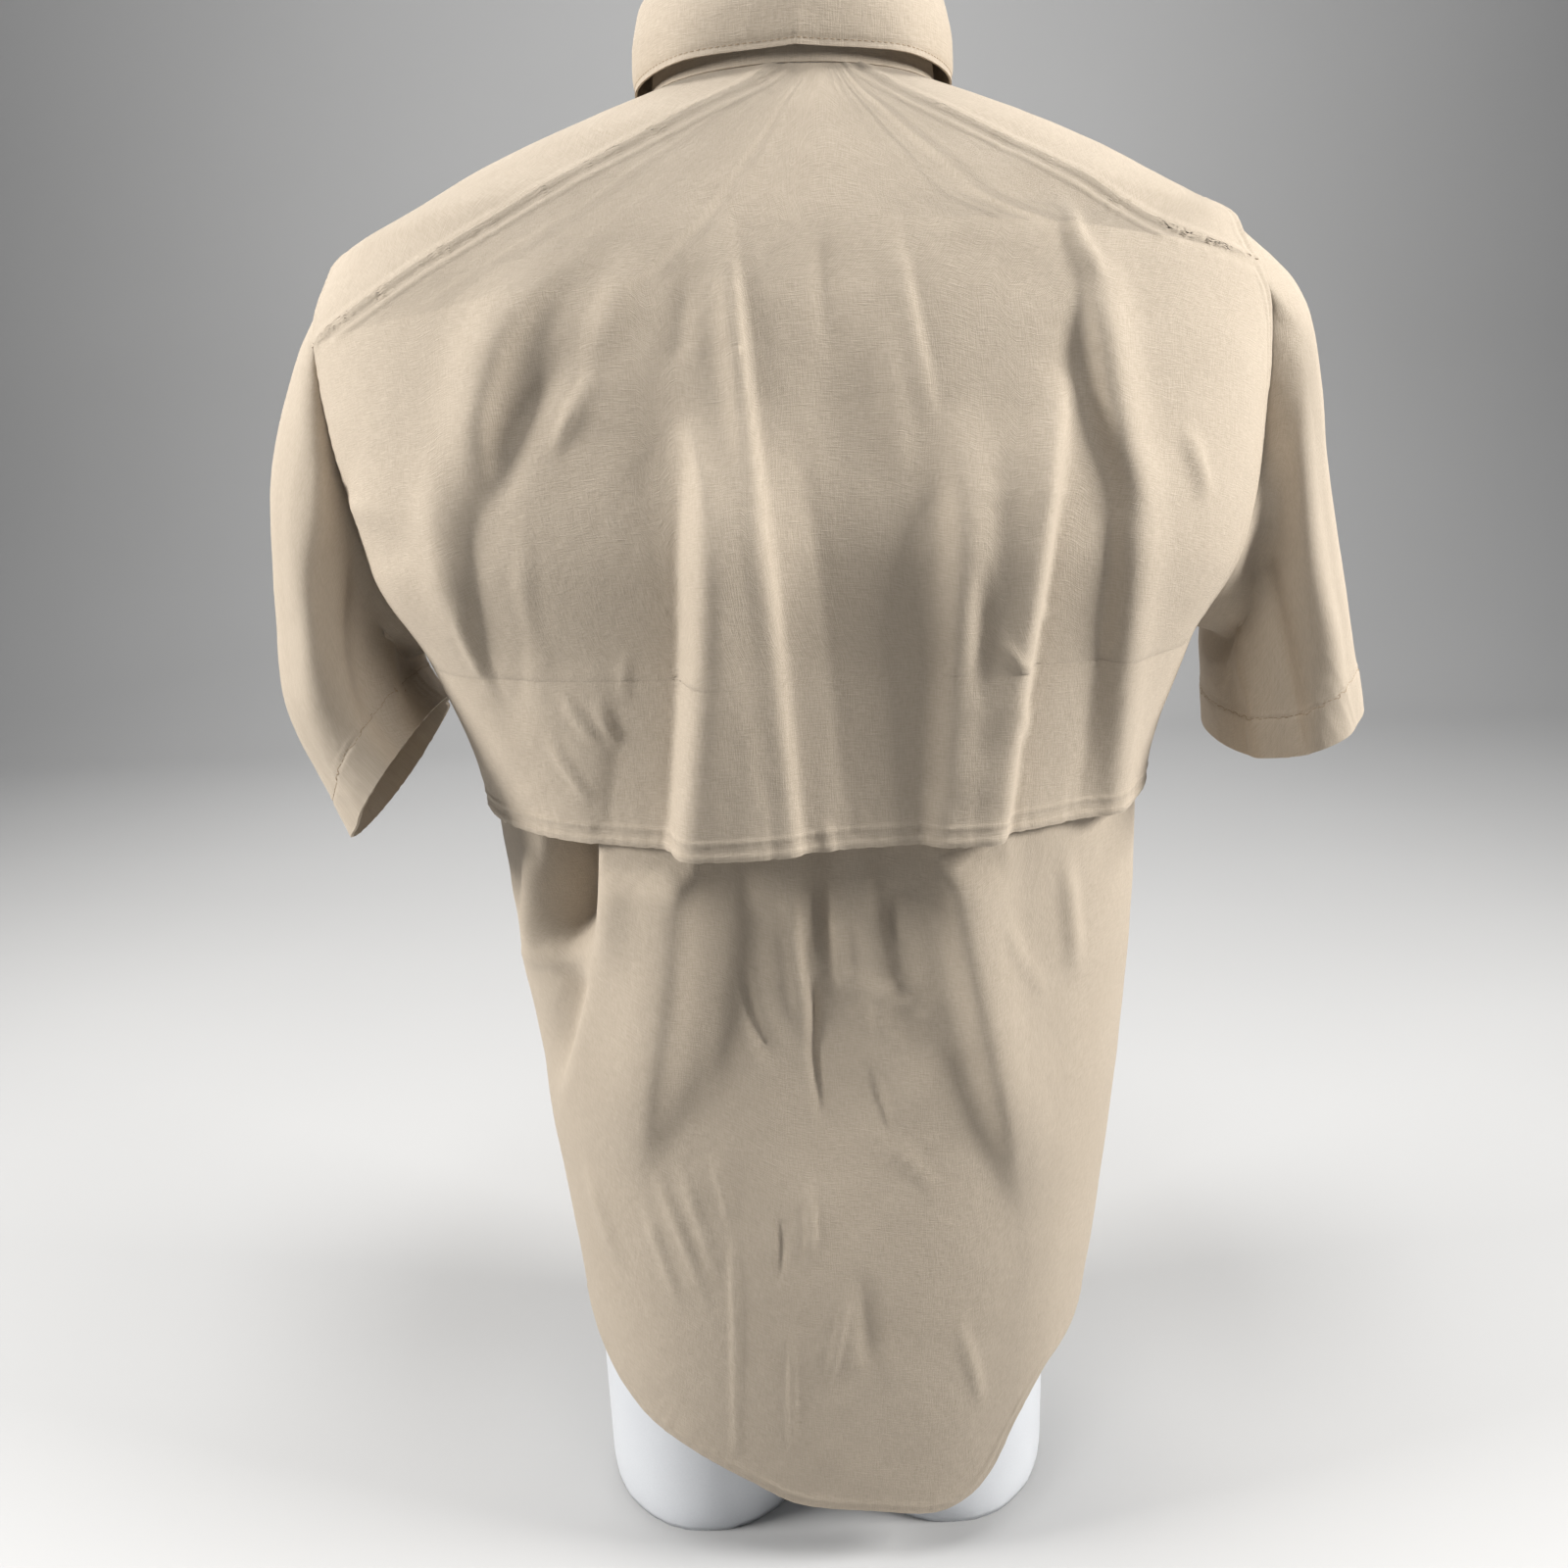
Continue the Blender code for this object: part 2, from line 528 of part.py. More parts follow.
def add_wall(name, outer, inner, colour=CLOTH_COLOUR, roughness=0.85, closed=False):
    """Build a cloth wall between the grids of its outer and inner points."""
    shape = bmesh.new()
    front = add_grid_faces(shape, outer, closed)
    back = add_grid_faces(shape, inner, closed)
    rims = [(front[0], back[0]), (front[-1], back[-1])]
    if not closed:
        rims += [([row[0] for row in front], [row[0] for row in back])]
        rims += [([row[-1] for row in front], [row[-1] for row in back])]
    for outside, inside in rims:
        count = len(outside)
        for index in range(count if closed else count - 1):
            after = (index + 1) % count
            shape.faces.new((outside[index], outside[after], inside[after], inside[index]))
    bmesh.ops.recalc_face_normals(shape, faces=shape.faces[:])
    mesh = bpy.data.meshes.new(name)
    shape.to_mesh(mesh)
    shape.free()
    return add_object(name, mesh, colour, roughness)


def armhole_turns(start, end):
    """Return the armhole's stations between two turns."""
    step = ARMHOLE_STEP if end > start else -ARMHOLE_STEP
    return np.arange(start, end + step, step)


def make_back_panel():
    """Build the lower back, from the shirt-tail hem to its top edge under the cape."""
    edges = {}
    for sign in (1.0, -1.0):
        levels = side_levels(hem_level(sign))
        seam = np.stack([np.full_like(levels, 1.0), levels], axis=-1)
        hole = armhole_place(armhole_turns(180 - ARMHOLE_STEP, BACK_TOP_TURN), sign)
        edges[sign] = np.concatenate([seam, hole]) * np.array([sign, 1.0])
    girths = np.linspace(-1.0, 1.0, BACK_COLUMNS + 1)
    hem = np.stack([girths, hem_level(girths)], axis=-1)
    top = edges[-1.0][-1] + (edges[1.0][-1] - edges[-1.0][-1]) * np.linspace(0, 1, BACK_COLUMNS + 1)[:, None]
    side = edges[1.0][:, 1]
    hem_share = 1.0 - np.clip((side - side[0]) / (HEM_EASE_LEVEL - side[0]), 0.0, 1.0)
    places = patch(edges[-1.0], edges[1.0], hem, top, hem_share, np.zeros_like(side))
    return add_wall("back_panel", *wall_on_skin(back_skin, places, ("near", "far")))


def make_cape():
    """Build the vented upper back, from its free hem to the neckline between the shoulder seams."""
    levels = np.linspace(CAPE_HEM_LEVEL, UNDERARM_LEVEL, WAIST_ROWS + 1)
    seam = np.stack([np.ones_like(levels), levels], axis=-1)
    edges = {}
    for side in (1.0, -1.0):
        hole = armhole_place(armhole_turns(180 - ARMHOLE_STEP, SEAM_END_TURN[side]), side)
        edges[side] = np.concatenate([seam, hole, seam_places(side)[::-1][1:]])
    left = edges[1.0]
    right = mirrored(edges[-1.0])
    across = np.linspace(0.0, 1.0, BACK_COLUMNS + 1)[:, None]
    hem = right[0] + (left[0] - right[0]) * across
    plain = np.zeros(len(left))
    places = patch(right, left, hem, hem, plain, plain)
    return add_wall("cape", *wall_on_skin(cape_skin, places))


def centre_front_levels():
    """Return the levels of the centre front edge, from the hem to the neckline."""
    chest = np.linspace(UNDERARM_LEVEL, NECK_LEVEL, CHEST_ROWS + 1)
    return np.concatenate([side_levels(hem_level(2.0)), chest[1:]])


def neckline_girths(side):
    """Return the girths of one side's neckline, from the centre front edge to the shoulder seam."""
    start = 2.0 - side * front_offset(FRONT_EDGE_X, NECK_LEVEL)
    return np.linspace(start, SHOULDER_SEAM[side][0][0], NECKLINE_STEPS[side] + 1)


def make_front(name, side):
    """Build one front with its shoulder extension; side is 1 on the wearer's left and -1 on the right."""
    levels = centre_front_levels()
    edge = np.stack([2.0 - side * front_offset(FRONT_EDGE_X, levels), levels], axis=-1)
    neck = np.array([(girth, NECK_LEVEL) for girth in neckline_girths(side)[1:]])
    near = np.concatenate([edge, neck])
    seam_levels = side_levels(hem_level(side))
    seam = np.stack([np.ones_like(seam_levels), seam_levels], axis=-1)
    hole = armhole_place(armhole_turns(180 + ARMHOLE_STEP, 360 + SEAM_END_TURN[side]), side)
    far = np.concatenate([seam, hole])
    girths = np.linspace(near[0][0], 1.0, SEAM_STEPS[side] + 1)
    hem = np.stack([girths, hem_level(side * girths)], axis=-1)
    shoulder = seam_places(side)
    hem_share = 1.0 - np.clip((far[:, 1] - far[0, 1]) / (HEM_EASE_LEVEL - far[0, 1]), 0.0, 1.0)
    hem_share[len(seam):] = 0.0
    shoulder_share = np.clip((np.arange(len(far)) - len(seam)) / (len(far) - 1.0 - len(seam)), 0.0, 1.0) ** 2
    places = patch(near, far, hem, shoulder, hem_share, shoulder_share)
    if side < 0.0:
        places = mirrored(places)
    return add_wall(name, *wall_on_skin(front_skin, places, ("last", "near", "far")))


def make_placket():
    """Build the button placket, a strip on the left front's edge."""
    levels = centre_front_levels()
    across = np.linspace(-PLACKET_HALF_WIDTH, PLACKET_HALF_WIDTH, PLACKET_COLUMNS + 1)
    girths = 2.0 - front_offset(1.0, levels)[:, None] * across[None, :]
    places = np.stack([girths, np.broadcast_to(levels[:, None], girths.shape)], axis=-1)
    return add_wall("placket", *wall_on_skin(placket_skin, places, ("last",)))


def armhole_loop(side):
    """Return the sleeve's first ring of points, just inside the armhole and level with the cape."""
    turns = np.arange(0, 360, ARMHOLE_STEP)
    places = armhole_place(turns, side)
    girth = side * places[:, 0]
    behind = (turns >= SEAM_END_TURN[side]) & (turns <= 180)
    points = np.where(behind[:, None], cape_skin(girth, places[:, 1]), front_skin(girth, places[:, 1]))
    inward = points.mean(axis=0) - points
    return points + inward * (SLEEVE_GAP / np.linalg.norm(inward, axis=-1, keepdims=True))


def sleeve_ring(row, side):
    """Return one ring of a sleeve from a row of its table."""
    size = dict(zip(SLEEVE_COLUMNS, row))
    turn = np.radians(np.arange(0, 360, ARMHOLE_STEP))
    power = 2.0 / size["squareness"]
    up = np.sign(np.cos(turn)) * np.abs(np.cos(turn)) ** power
    back = np.sign(np.sin(turn)) * np.abs(np.sin(turn)) ** power
    x = (size["x_top"] + size["x_low"]) / 2.0 + (size["x_top"] - size["x_low"]) / 2.0 * up
    z = (size["z_top"] + size["z_low"]) / 2.0 + (size["z_top"] - size["z_low"]) / 2.0 * up
    return np.stack([side * x, size["y_mid"] + size["half_depth"] * back, z], axis=-1)


def make_sleeve(name, rows, side):
    """Build one sleeve as a tube through its armhole loop and the rings of its table."""
    sections = np.array([armhole_loop(side)] + [sleeve_ring(row, side) for row in rows])
    stations = np.array([0.0] + [row[0] for row in rows])
    wanted = np.linspace(0.0, 1.0, SLEEVE_STEPS + 1)
    grid = np.apply_along_axis(lambda values: smooth_lookup(wanted, stations, values), 0, sections)
    into = -grid_normal(grid, closed=True) * side
    inward = grid[0].mean(axis=0) - grid[0]
    into[0] += inward / np.linalg.norm(inward, axis=-1, keepdims=True)
    into /= np.linalg.norm(into, axis=-1, keepdims=True)
    return add_wall(name, grid, grid + into * WALL, closed=True)


def stand_places():
    """Return the girths round the collar stand, from its right end to its left end."""
    left = neckline_girths(1.0)
    right = -neckline_girths(-1.0)
    back = np.linspace(right[-1], left[-1], 5)
    return np.concatenate([right[:-1], back, left[::-1][1:]])


def stand_point(girth, share):
    """Return a point of the stand's outer face; share is 0 at its foot and 1 at its top."""
    foot = plain_skin(girth, np.full_like(girth, NECK_LEVEL))
    front = ease(0.6, 2.0, np.abs(girth))
    height = STAND_HEIGHT_BACK + (STAND_HEIGHT_FRONT - STAND_HEIGHT_BACK) * front
    lean = 1.0 - STAND_LEAN * share
    z = foot[..., 2] + STAND_FOOT_GAP + height * share
    return np.stack([foot[..., 0] * lean, foot[..., 1] * lean, z], axis=-1)


def make_collar_stand():
    """Build the band that the collar's leaf is sewn to."""
    girths = stand_places()
    shares = np.linspace(0.0, 1.0, STAND_ROWS + 1)
    grid = np.array([stand_point(girths, share) for share in shares])
    inner = grid - grid_normal(grid, closed=False) * WALL
    return add_wall("collar_stand", *pulled_in(grid, inner, ("near", "far")))


def make_collar_leaf():
    """Build the collar's leaf, which rises from the stand, turns over and falls to its points."""
    girths = np.linspace(-LEAF_END_GIRTH, LEAF_END_GIRTH, LEAF_COLUMNS + 1)
    top = stand_point(girths, 1.0)
    out = surface_normal(plain_skin, girths, np.full_like(girths, NECK_LEVEL))
    out[:, 2] = 0.0
    out /= np.linalg.norm(out, axis=-1, keepdims=True)
    up = np.array([0.0, 0.0, 1.0])
    rows = [top + out * step[0] + up * step[1] for step in LEAF_FOLD]
    reach = np.abs(girths)
    edge = [table_curve(LEAF_EDGE_COLUMNS, LEAF_EDGE, "girth", axis, reach) for axis in ("x", "y", "z")]
    edge = np.stack([np.sign(girths) * edge[0], edge[1], edge[2]], axis=-1)
    start = rows[-1]
    for share in np.linspace(0.0, 1.0, LEAF_FALL_ROWS + 1)[1:]:
        bulge = LEAF_BULGE * math.sin(math.pi * share)
        rows.append(start * (1.0 - share) + edge * share + out * bulge)
    grid = np.array(rows)
    inner = grid - grid_normal(grid, closed=False) * WALL
    return add_wall("collar_leaf", grid, inner)


def make_button(name, seat, outward):
    """Turn one flat button with a raised rim, its back at seat and its face along outward."""
    shape = bmesh.new()
    face = BUTTON_THICKNESS - BUTTON_RIM
    profile = (
        (0.0, 0.0),
        (BUTTON_RADIUS * 0.80, 0.0),
        (BUTTON_RADIUS, BUTTON_THICKNESS * 0.4),
        (BUTTON_RADIUS * 0.92, BUTTON_THICKNESS),
        (BUTTON_RADIUS * 0.72, BUTTON_THICKNESS),
        (BUTTON_RADIUS * 0.60, face),
        (0.0, face),
    )
    verts = [shape.verts.new((radius, 0.0, height)) for radius, height in profile]
    edges = [shape.edges.new(pair) for pair in zip(verts, verts[1:])]
    bmesh.ops.spin(
        shape,
        geom=verts + edges,
        axis=(0.0, 0.0, 1.0),
        cent=(0.0, 0.0, 0.0),
        steps=BUTTON_SIDES,
        angle=2.0 * math.pi,
    )
    bmesh.ops.remove_doubles(shape, verts=shape.verts[:], dist=0.00001)
    bmesh.ops.recalc_face_normals(shape, faces=shape.faces[:])
    mesh = bpy.data.meshes.new(name)
    shape.to_mesh(mesh)
    shape.free()
    item = add_object(name, mesh, BUTTON_COLOUR, 0.35)
    turn = Vector((0.0, 0.0, 1.0)).rotation_difference(Vector(outward)).to_matrix().to_4x4()
    back = Vector(seat) + Vector(outward) * BUTTON_SEAT_GAP + Vector(CENTRE_SHIFT)
    item.matrix_world = Matrix.Translation(back) @ turn
    return item


def level_at_height(z):
    """Return the level at which the placket's centre line has the height z."""
    levels = np.linspace(LOWEST_LEVEL, NECK_LEVEL, 400)
    heights = placket_skin(np.full_like(levels, 2.0), levels)[:, 2]
    return np.interp(z, heights, levels)


def make_buttons():
    """Build the collar stand's button and the row of buttons down the placket."""
    centre = np.array([2.0])
    seat = stand_point(centre, 0.5)[0]
    above = stand_point(centre, 0.7)[0]
    outward = Vector((1.0, 0.0, 0.0)).cross(Vector(above - seat)).normalized()
    make_button("button_1", Vector(seat) - outward * STAND_BUTTON_SINK, outward)
    for index in range(BUTTON_COUNT - 1):
        level = np.array([level_at_height(BUTTON_TOP_Z - index * BUTTON_SPACING)])
        seat = placket_skin(centre, level)[0]
        make_button(f"button_{index + 2}", seat, surface_normal(placket_skin, centre, level)[0])


def form_skin(girth, level):
    """Return the torso form's skin, which comes up under the cloth along the shoulders."""
    own = ring_point(FORM_RINGS, girth, level)
    low = np.minimum(level, NECK_LEVEL)
    under = plain_skin(girth, low) - surface_normal(plain_skin, girth, low) * FORM_REST_CLEARANCE
    share = ease(*FORM_REST_FROM, level) * (1.0 - ease(*FORM_REST_TO, level))
    return own + (under - own) * share[..., None]


def make_torso_form():
    """Build the armless form: a closed torso with a flat neck, joined to two short thigh stumps."""
    lowest, highest = FORM_RINGS[0][0], FORM_RINGS[-1][0]
    below = np.linspace(lowest, FORM_REST_FROM[0], FORM_ROWS_BELOW_REST)
    above = np.linspace(FORM_REST_FROM[0], highest, FORM_ROWS_FROM_REST)
    levels = np.concatenate([below, above[1:]])
    girths = np.arange(FORM_COLUMNS) * 4.0 / FORM_COLUMNS
    shape = bmesh.new()
    verts = add_grid_faces(shape, form_skin(girths[None, :], levels[:, None]), closed=True)
    shape.faces.new(verts[0])
    shape.faces.new(verts[-1])
    bmesh.ops.recalc_face_normals(shape, faces=shape.faces[:])
    mesh = bpy.data.meshes.new("torso_form")
    shape.to_mesh(mesh)
    shape.free()
    form = add_object("torso_form", mesh, PLASTIC_COLOUR, 0.30)
    for side in (1.0, -1.0):
        stump = make_stump(side)
        union = form.modifiers.new(stump.name, "BOOLEAN")
        union.operation = "UNION"
        union.solver = "EXACT"
        union.object = stump
    return form


def make_stump(side):
    """Build one thigh stump, an oval column that is joined to the form."""
    bpy.ops.mesh.primitive_cylinder_add(
        vertices=32,
        radius=1.0,
        depth=STUMP_HEIGHT,
        location=Vector((STUMP_CENTRE_X[side], STUMP_CENTRE_Y, STUMP_HEIGHT / 2.0)) + Vector(CENTRE_SHIFT),
    )
    stump = bpy.context.object
    stump.name = "stump_left" if side > 0.0 else "stump_right"
    for vert in stump.data.vertices:
        vert.co.x *= STUMP_HALF_WIDTH
        vert.co.y *= STUMP_HALF_DEPTH
    for holder in list(stump.users_collection):
        holder.objects.unlink(stump)
    bpy.data.collections["joined_shapes"].objects.link(stump)
    stump.hide_render = True
    stump.display_type = "WIRE"
    return stump


def clear_scene():
    """Remove every object that the scene holds and add the two collections."""
    for item in list(bpy.data.objects):
        bpy.data.objects.remove(item, do_unlink=True)
    for name in (COLLECTION_NAME, "joined_shapes"):
        bpy.context.scene.collection.children.link(bpy.data.collections.new(name))


def main():
    """Build the shirt and the form."""
    clear_scene()
    make_torso_form()
    make_back_panel()
    make_cape()
    make_front("front_left", 1.0)
    make_front("front_right", -1.0)
    make_placket()
    make_sleeve("sleeve_left", SLEEVE_LEFT, 1.0)
    make_sleeve("sleeve_right", SLEEVE_RIGHT, -1.0)
    make_collar_stand()
    make_collar_leaf()
    make_buttons()


main()
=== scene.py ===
"""Short-sleeve shirt with a caped back, on an armless torso form: the looks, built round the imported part.

Lengths are metres, +Z is up, the fronts face -Y and the wearer's left side is +X. The cloth is read from one
skin at a girth and a level. Girth is 0 at the centre back, 1 at the wearer's left side, 2 at the centre front
and -1 at the right side. Level is the height of a section, and the sections tilt until they lie on the
shoulders. Every cloth piece is a fine grid on that skin with folds, puckers, hems and stitches of its own.
"""

import logging
import math
from dataclasses import dataclass, field, replace
from enum import Enum
from typing import Any, Callable, NamedTuple, Sequence

import bmesh
import bpy
import numpy as np
from mathutils import Matrix, Vector
from mathutils.bvhtree import BVHTree
from mathutils.kdtree import KDTree


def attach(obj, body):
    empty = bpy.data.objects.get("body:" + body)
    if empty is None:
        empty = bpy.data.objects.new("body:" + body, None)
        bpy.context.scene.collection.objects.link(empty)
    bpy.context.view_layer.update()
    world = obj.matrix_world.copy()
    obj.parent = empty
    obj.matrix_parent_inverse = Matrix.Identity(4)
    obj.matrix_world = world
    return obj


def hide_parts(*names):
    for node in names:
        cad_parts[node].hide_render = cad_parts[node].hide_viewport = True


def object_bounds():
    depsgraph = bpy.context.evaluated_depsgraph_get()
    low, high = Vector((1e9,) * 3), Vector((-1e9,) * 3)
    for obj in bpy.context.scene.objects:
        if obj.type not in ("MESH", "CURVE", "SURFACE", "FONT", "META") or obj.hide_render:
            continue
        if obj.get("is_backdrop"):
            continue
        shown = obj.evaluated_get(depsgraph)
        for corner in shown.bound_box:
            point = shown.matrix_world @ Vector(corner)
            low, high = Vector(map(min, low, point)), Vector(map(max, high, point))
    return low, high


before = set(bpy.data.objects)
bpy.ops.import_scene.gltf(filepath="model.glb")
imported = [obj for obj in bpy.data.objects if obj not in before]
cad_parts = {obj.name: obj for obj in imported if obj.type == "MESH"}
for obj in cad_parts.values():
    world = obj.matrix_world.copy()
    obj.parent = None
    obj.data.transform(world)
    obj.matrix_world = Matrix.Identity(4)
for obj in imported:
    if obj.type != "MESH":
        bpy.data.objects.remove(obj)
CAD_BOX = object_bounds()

Array = np.ndarray
log = logging.getLogger("shirt")

ROOT = "root"
FRAME_SHIFT = np.array([0.006, -0.0195, 0.0])

CLOTH_THICKNESS = 0.0011
HEM_THICKNESS = 0.0017
CAPE_LIFT = 0.0026
CAPE_SPREAD = 0.0080
CAPE_SINK_SHARE = 0.45
PLACKET_LIFT = 0.0026
SEAM_GAP = 0.0002
ROLL_WIDTH = 0.0014
STITCH_GROOVE = 0.0014
HEM_STEP_WIDTH = 0.001
HEM_RISE = 0.0007
SEAM_DENSITY = 3.0
SEAM_SPREAD = 1.3
PUCKER_START = 0.002
SLOW_PUCKERS = 9.0
STEADY_SHARE = 0.35
VARIED_SHARE = 0.65
CLOTH_SHARP_ANGLE = 60.0

LOWEST_LEVEL = 0.030
UNDERARM_LEVEL = 0.565
SHOULDER_LEVEL = 0.792
NECK_LEVEL = 0.845
CAPE_HEM_LEVEL = 0.476
CAPE_FREE_LEVEL = 0.615
CAPE_SEWN_LEVEL = 0.700
HEM_EASE_LEVEL = 0.440

ROW_DETAIL = 8
COLUMN_DETAIL = 8
SKIRT_ROWS = 9
WAIST_ROWS = 3
CHEST_ROWS = 6
BACK_COLUMNS = 30
ARMHOLE_STEP = 15.0
BACK_TOP_TURN = 135.0
FRONT_EDGE_X = 0.013
PLACKET_HALF_WIDTH = 0.016
PLACKET_COLUMNS = 3
FRONT_DETAIL = 5

STAND_HEIGHT_BACK = 0.034
STAND_HEIGHT_FRONT = 0.027
STAND_LEAN = 0.05
STAND_FOOT_GAP = 0.0005
STAND_ROWS = 18
STAND_COLUMNS = 320
LEAF_END_GIRTH = 1.90
LEAF_COLUMNS = 260
LEAF_FALL_ROWS = 4
LEAF_DETAIL = 7
LEAF_BULGE = 0.0025
LEAF_WALL = 0.0015

BUTTON_TOP_Z = 0.750
BUTTON_SPACING = 0.096
BUTTON_COUNT = 7
BUTTON_SEAT_GAP = 0.0004
STAND_BUTTON_SINK = 0.0006
STAND_BUTTON_SHARE = 0.5
STAND_SLOPE_SHARE = 0.7
SEAT_GIRTH_STEP = 0.01
SEAT_LEVEL_STEP = 0.002
LEVEL_SAMPLES = 400
HOLE_STITCHES = 17
HOLE_HALF_LENGTH = 0.0066
HOLE_HALF_WIDTH = 0.0012

SLEEVE_ROWS = 90
SLEEVE_GAP = 0.0008
SLEEVE_CALM = 0.12
SLEEVE_FOLD_LEAD = 0.1
SLEEVE_FOLD_RISE = 0.2
SLEEVE_FOLD_FADE = 0.15
SLEEVE_SOFT_CALM = 0.15
SLEEVE_SEED = 3.1


class Side(Enum):
    """The wearer's side of a piece, with its sign along X."""

    LEFT = 1.0
    RIGHT = -1.0


class Edge(Enum):
    """One of the four edges of a cloth grid, as its axis and its place on that axis."""

    FIRST = (0, 0)
    LAST = (0, -1)
    NEAR = (1, 0)
    FAR = (1, -1)


NECKLINE_STEPS = {Side.LEFT: 10, Side.RIGHT: 9}
SEAM_END_TURN = {Side.LEFT: 60.0, Side.RIGHT: 45.0}
SEAM_STEPS = {Side.LEFT: 11, Side.RIGHT: 10}


class Ring(NamedTuple):
    """One section of a body of rings."""

    level: float
    x_mid: float
    half_width: float
    y_back: float
    y_front: float
    z_back: float
    z_side: float
    z_front: float
    squareness: float


SHIRT_RINGS = (
    Ring(0.030, -0.001, 0.148, 0.124, -0.100, 0.030, 0.030, 0.030, 2.7),
    Ring(0.120, -0.003, 0.160, 0.128, -0.104, 0.120, 0.120, 0.120, 2.6),
    Ring(0.200, -0.005, 0.170, 0.129, -0.108, 0.200, 0.200, 0.200, 2.4),
    Ring(0.300, -0.005, 0.181, 0.128, -0.110, 0.300, 0.300, 0.300, 2.2),
    Ring(0.400, -0.004, 0.188, 0.126, -0.110, 0.400, 0.400, 0.400, 2.1),
    Ring(0.480, -0.001, 0.191, 0.125, -0.112, 0.480, 0.480, 0.480, 2.1),
    Ring(0.565, 0.000, 0.212, 0.129, -0.114, 0.568, 0.565, 0.565, 2.4),
    Ring(0.620, 0.001, 0.235, 0.134, -0.114, 0.630, 0.612, 0.620, 2.6),
    Ring(0.680, 0.003, 0.251, 0.130, -0.110, 0.700, 0.672, 0.680, 2.6),
    Ring(0.740, 0.004, 0.256, 0.114, -0.098, 0.765, 0.735, 0.730, 2.5),
    Ring(0.780, 0.003, 0.244, 0.098, -0.085, 0.802, 0.770, 0.764, 2.4),
    Ring(0.795, 0.002, 0.204, 0.090, -0.079, 0.817, 0.793, 0.777, 2.3),
    Ring(0.810, 0.001, 0.163, 0.083, -0.074, 0.830, 0.814, 0.788, 2.2),
    Ring(0.828, 0.000, 0.116, 0.076, -0.071, 0.840, 0.833, 0.800, 2.1),
    Ring(0.845, 0.000, 0.073, 0.071, -0.068, 0.849, 0.848, 0.812, 2.0),
)
FORM_RINGS = (
    Ring(0.070, 0.004, 0.146, 0.092, -0.078, 0.070, 0.070, 0.070, 2.2),
    Ring(0.120, 0.004, 0.146, 0.097, -0.084, 0.120, 0.120, 0.120, 2.2),
    Ring(0.200, 0.003, 0.146, 0.098, -0.086, 0.200, 0.200, 0.200, 2.2),
    Ring(0.300, 0.001, 0.141, 0.088, -0.083, 0.300, 0.300, 0.300, 2.1),
    Ring(0.400, 0.000, 0.135, 0.084, -0.082, 0.400, 0.400, 0.400, 2.1),
    Ring(0.500, 0.000, 0.150, 0.094, -0.090, 0.500, 0.500, 0.500, 2.1),
    Ring(0.600, 0.000, 0.172, 0.104, -0.098, 0.605, 0.600, 0.600, 2.3),
    Ring(0.680, 0.000, 0.184, 0.102, -0.094, 0.692, 0.672, 0.675, 2.6),
    Ring(0.740, 0.000, 0.190, 0.092, -0.082, 0.752, 0.735, 0.725, 2.8),
    Ring(0.780, 0.000, 0.182, 0.082, -0.070, 0.786, 0.766, 0.752, 2.5),
    Ring(0.800, 0.000, 0.158, 0.078, -0.067, 0.804, 0.788, 0.768, 2.3),
    Ring(0.820, 0.000, 0.112, 0.070, -0.062, 0.822, 0.812, 0.784, 2.1),
    Ring(0.845, 0.000, 0.058, 0.058, -0.056, 0.842, 0.842, 0.806, 2.0),
    Ring(0.885, 0.000, 0.054, 0.054, -0.052, 0.885, 0.885, 0.885, 2.0),
)


class EdgePlace(NamedTuple):
    """A place on a pattern edge."""

    girth: float
    level: float


HEM_EDGE = (
    EdgePlace(-2.10, 0.060),
    EdgePlace(-1.55, 0.080),
    EdgePlace(-1.20, 0.128),
    EdgePlace(-1.00, 0.138),
    EdgePlace(-0.80, 0.136),
    EdgePlace(-0.58, 0.124),
    EdgePlace(-0.475, 0.093),
    EdgePlace(-0.41, 0.059),
    EdgePlace(-0.35, 0.044),
    EdgePlace(-0.26, 0.037),
    EdgePlace(-0.10, 0.043),
    EdgePlace(0.10, 0.050),
    EdgePlace(0.25, 0.069),
    EdgePlace(0.41, 0.087),
    EdgePlace(0.52, 0.098),
    EdgePlace(0.83, 0.141),
    EdgePlace(1.00, 0.150),
    EdgePlace(1.20, 0.138),
    EdgePlace(1.55, 0.084),
    EdgePlace(2.10, 0.060),
)
SHOULDER_SEAM = {
    Side.LEFT: (
        EdgePlace(0.095, 0.845),
        EdgePlace(0.220, 0.818),
        EdgePlace(0.330, 0.797),
        EdgePlace(0.420, 0.782),
        EdgePlace(0.570, 0.762),
        EdgePlace(0.730, 0.744),
    ),
    Side.RIGHT: (
        EdgePlace(0.280, 0.845),
        EdgePlace(0.315, 0.819),
        EdgePlace(0.390, 0.801),
        EdgePlace(0.475, 0.784),
        EdgePlace(0.605, 0.765),
    ),
}


class Reach(NamedTuple):
    """How far an armhole swings from the side line at one turn from its top, as girths."""

    turn: float
    back_left: float
    back_right: float
    front: float


ARMHOLE_REACH = (
    Reach(0, 0.000, 0.000, 0.000),
    Reach(15, 0.060, 0.140, 0.100),
    Reach(30, 0.085, 0.190, 0.160),
    Reach(45, 0.095, 0.190, 0.190),
    Reach(60, 0.100, 0.150, 0.210),
    Reach(90, 0.110, 0.130, 0.230),
    Reach(120, 0.120, 0.190, 0.220),
    Reach(150, 0.120, 0.150, 0.160),
    Reach(165, 0.080, 0.090, 0.100),
    Reach(180, 0.000, 0.000, 0.000),
)


class SleeveRing(NamedTuple):
    """One ring of a sleeve, a share of the way along it."""

    along: float
    x_top: float
    z_top: float
    x_low: float
    z_low: float
    half_depth: float
    y_mid: float
    squareness: float


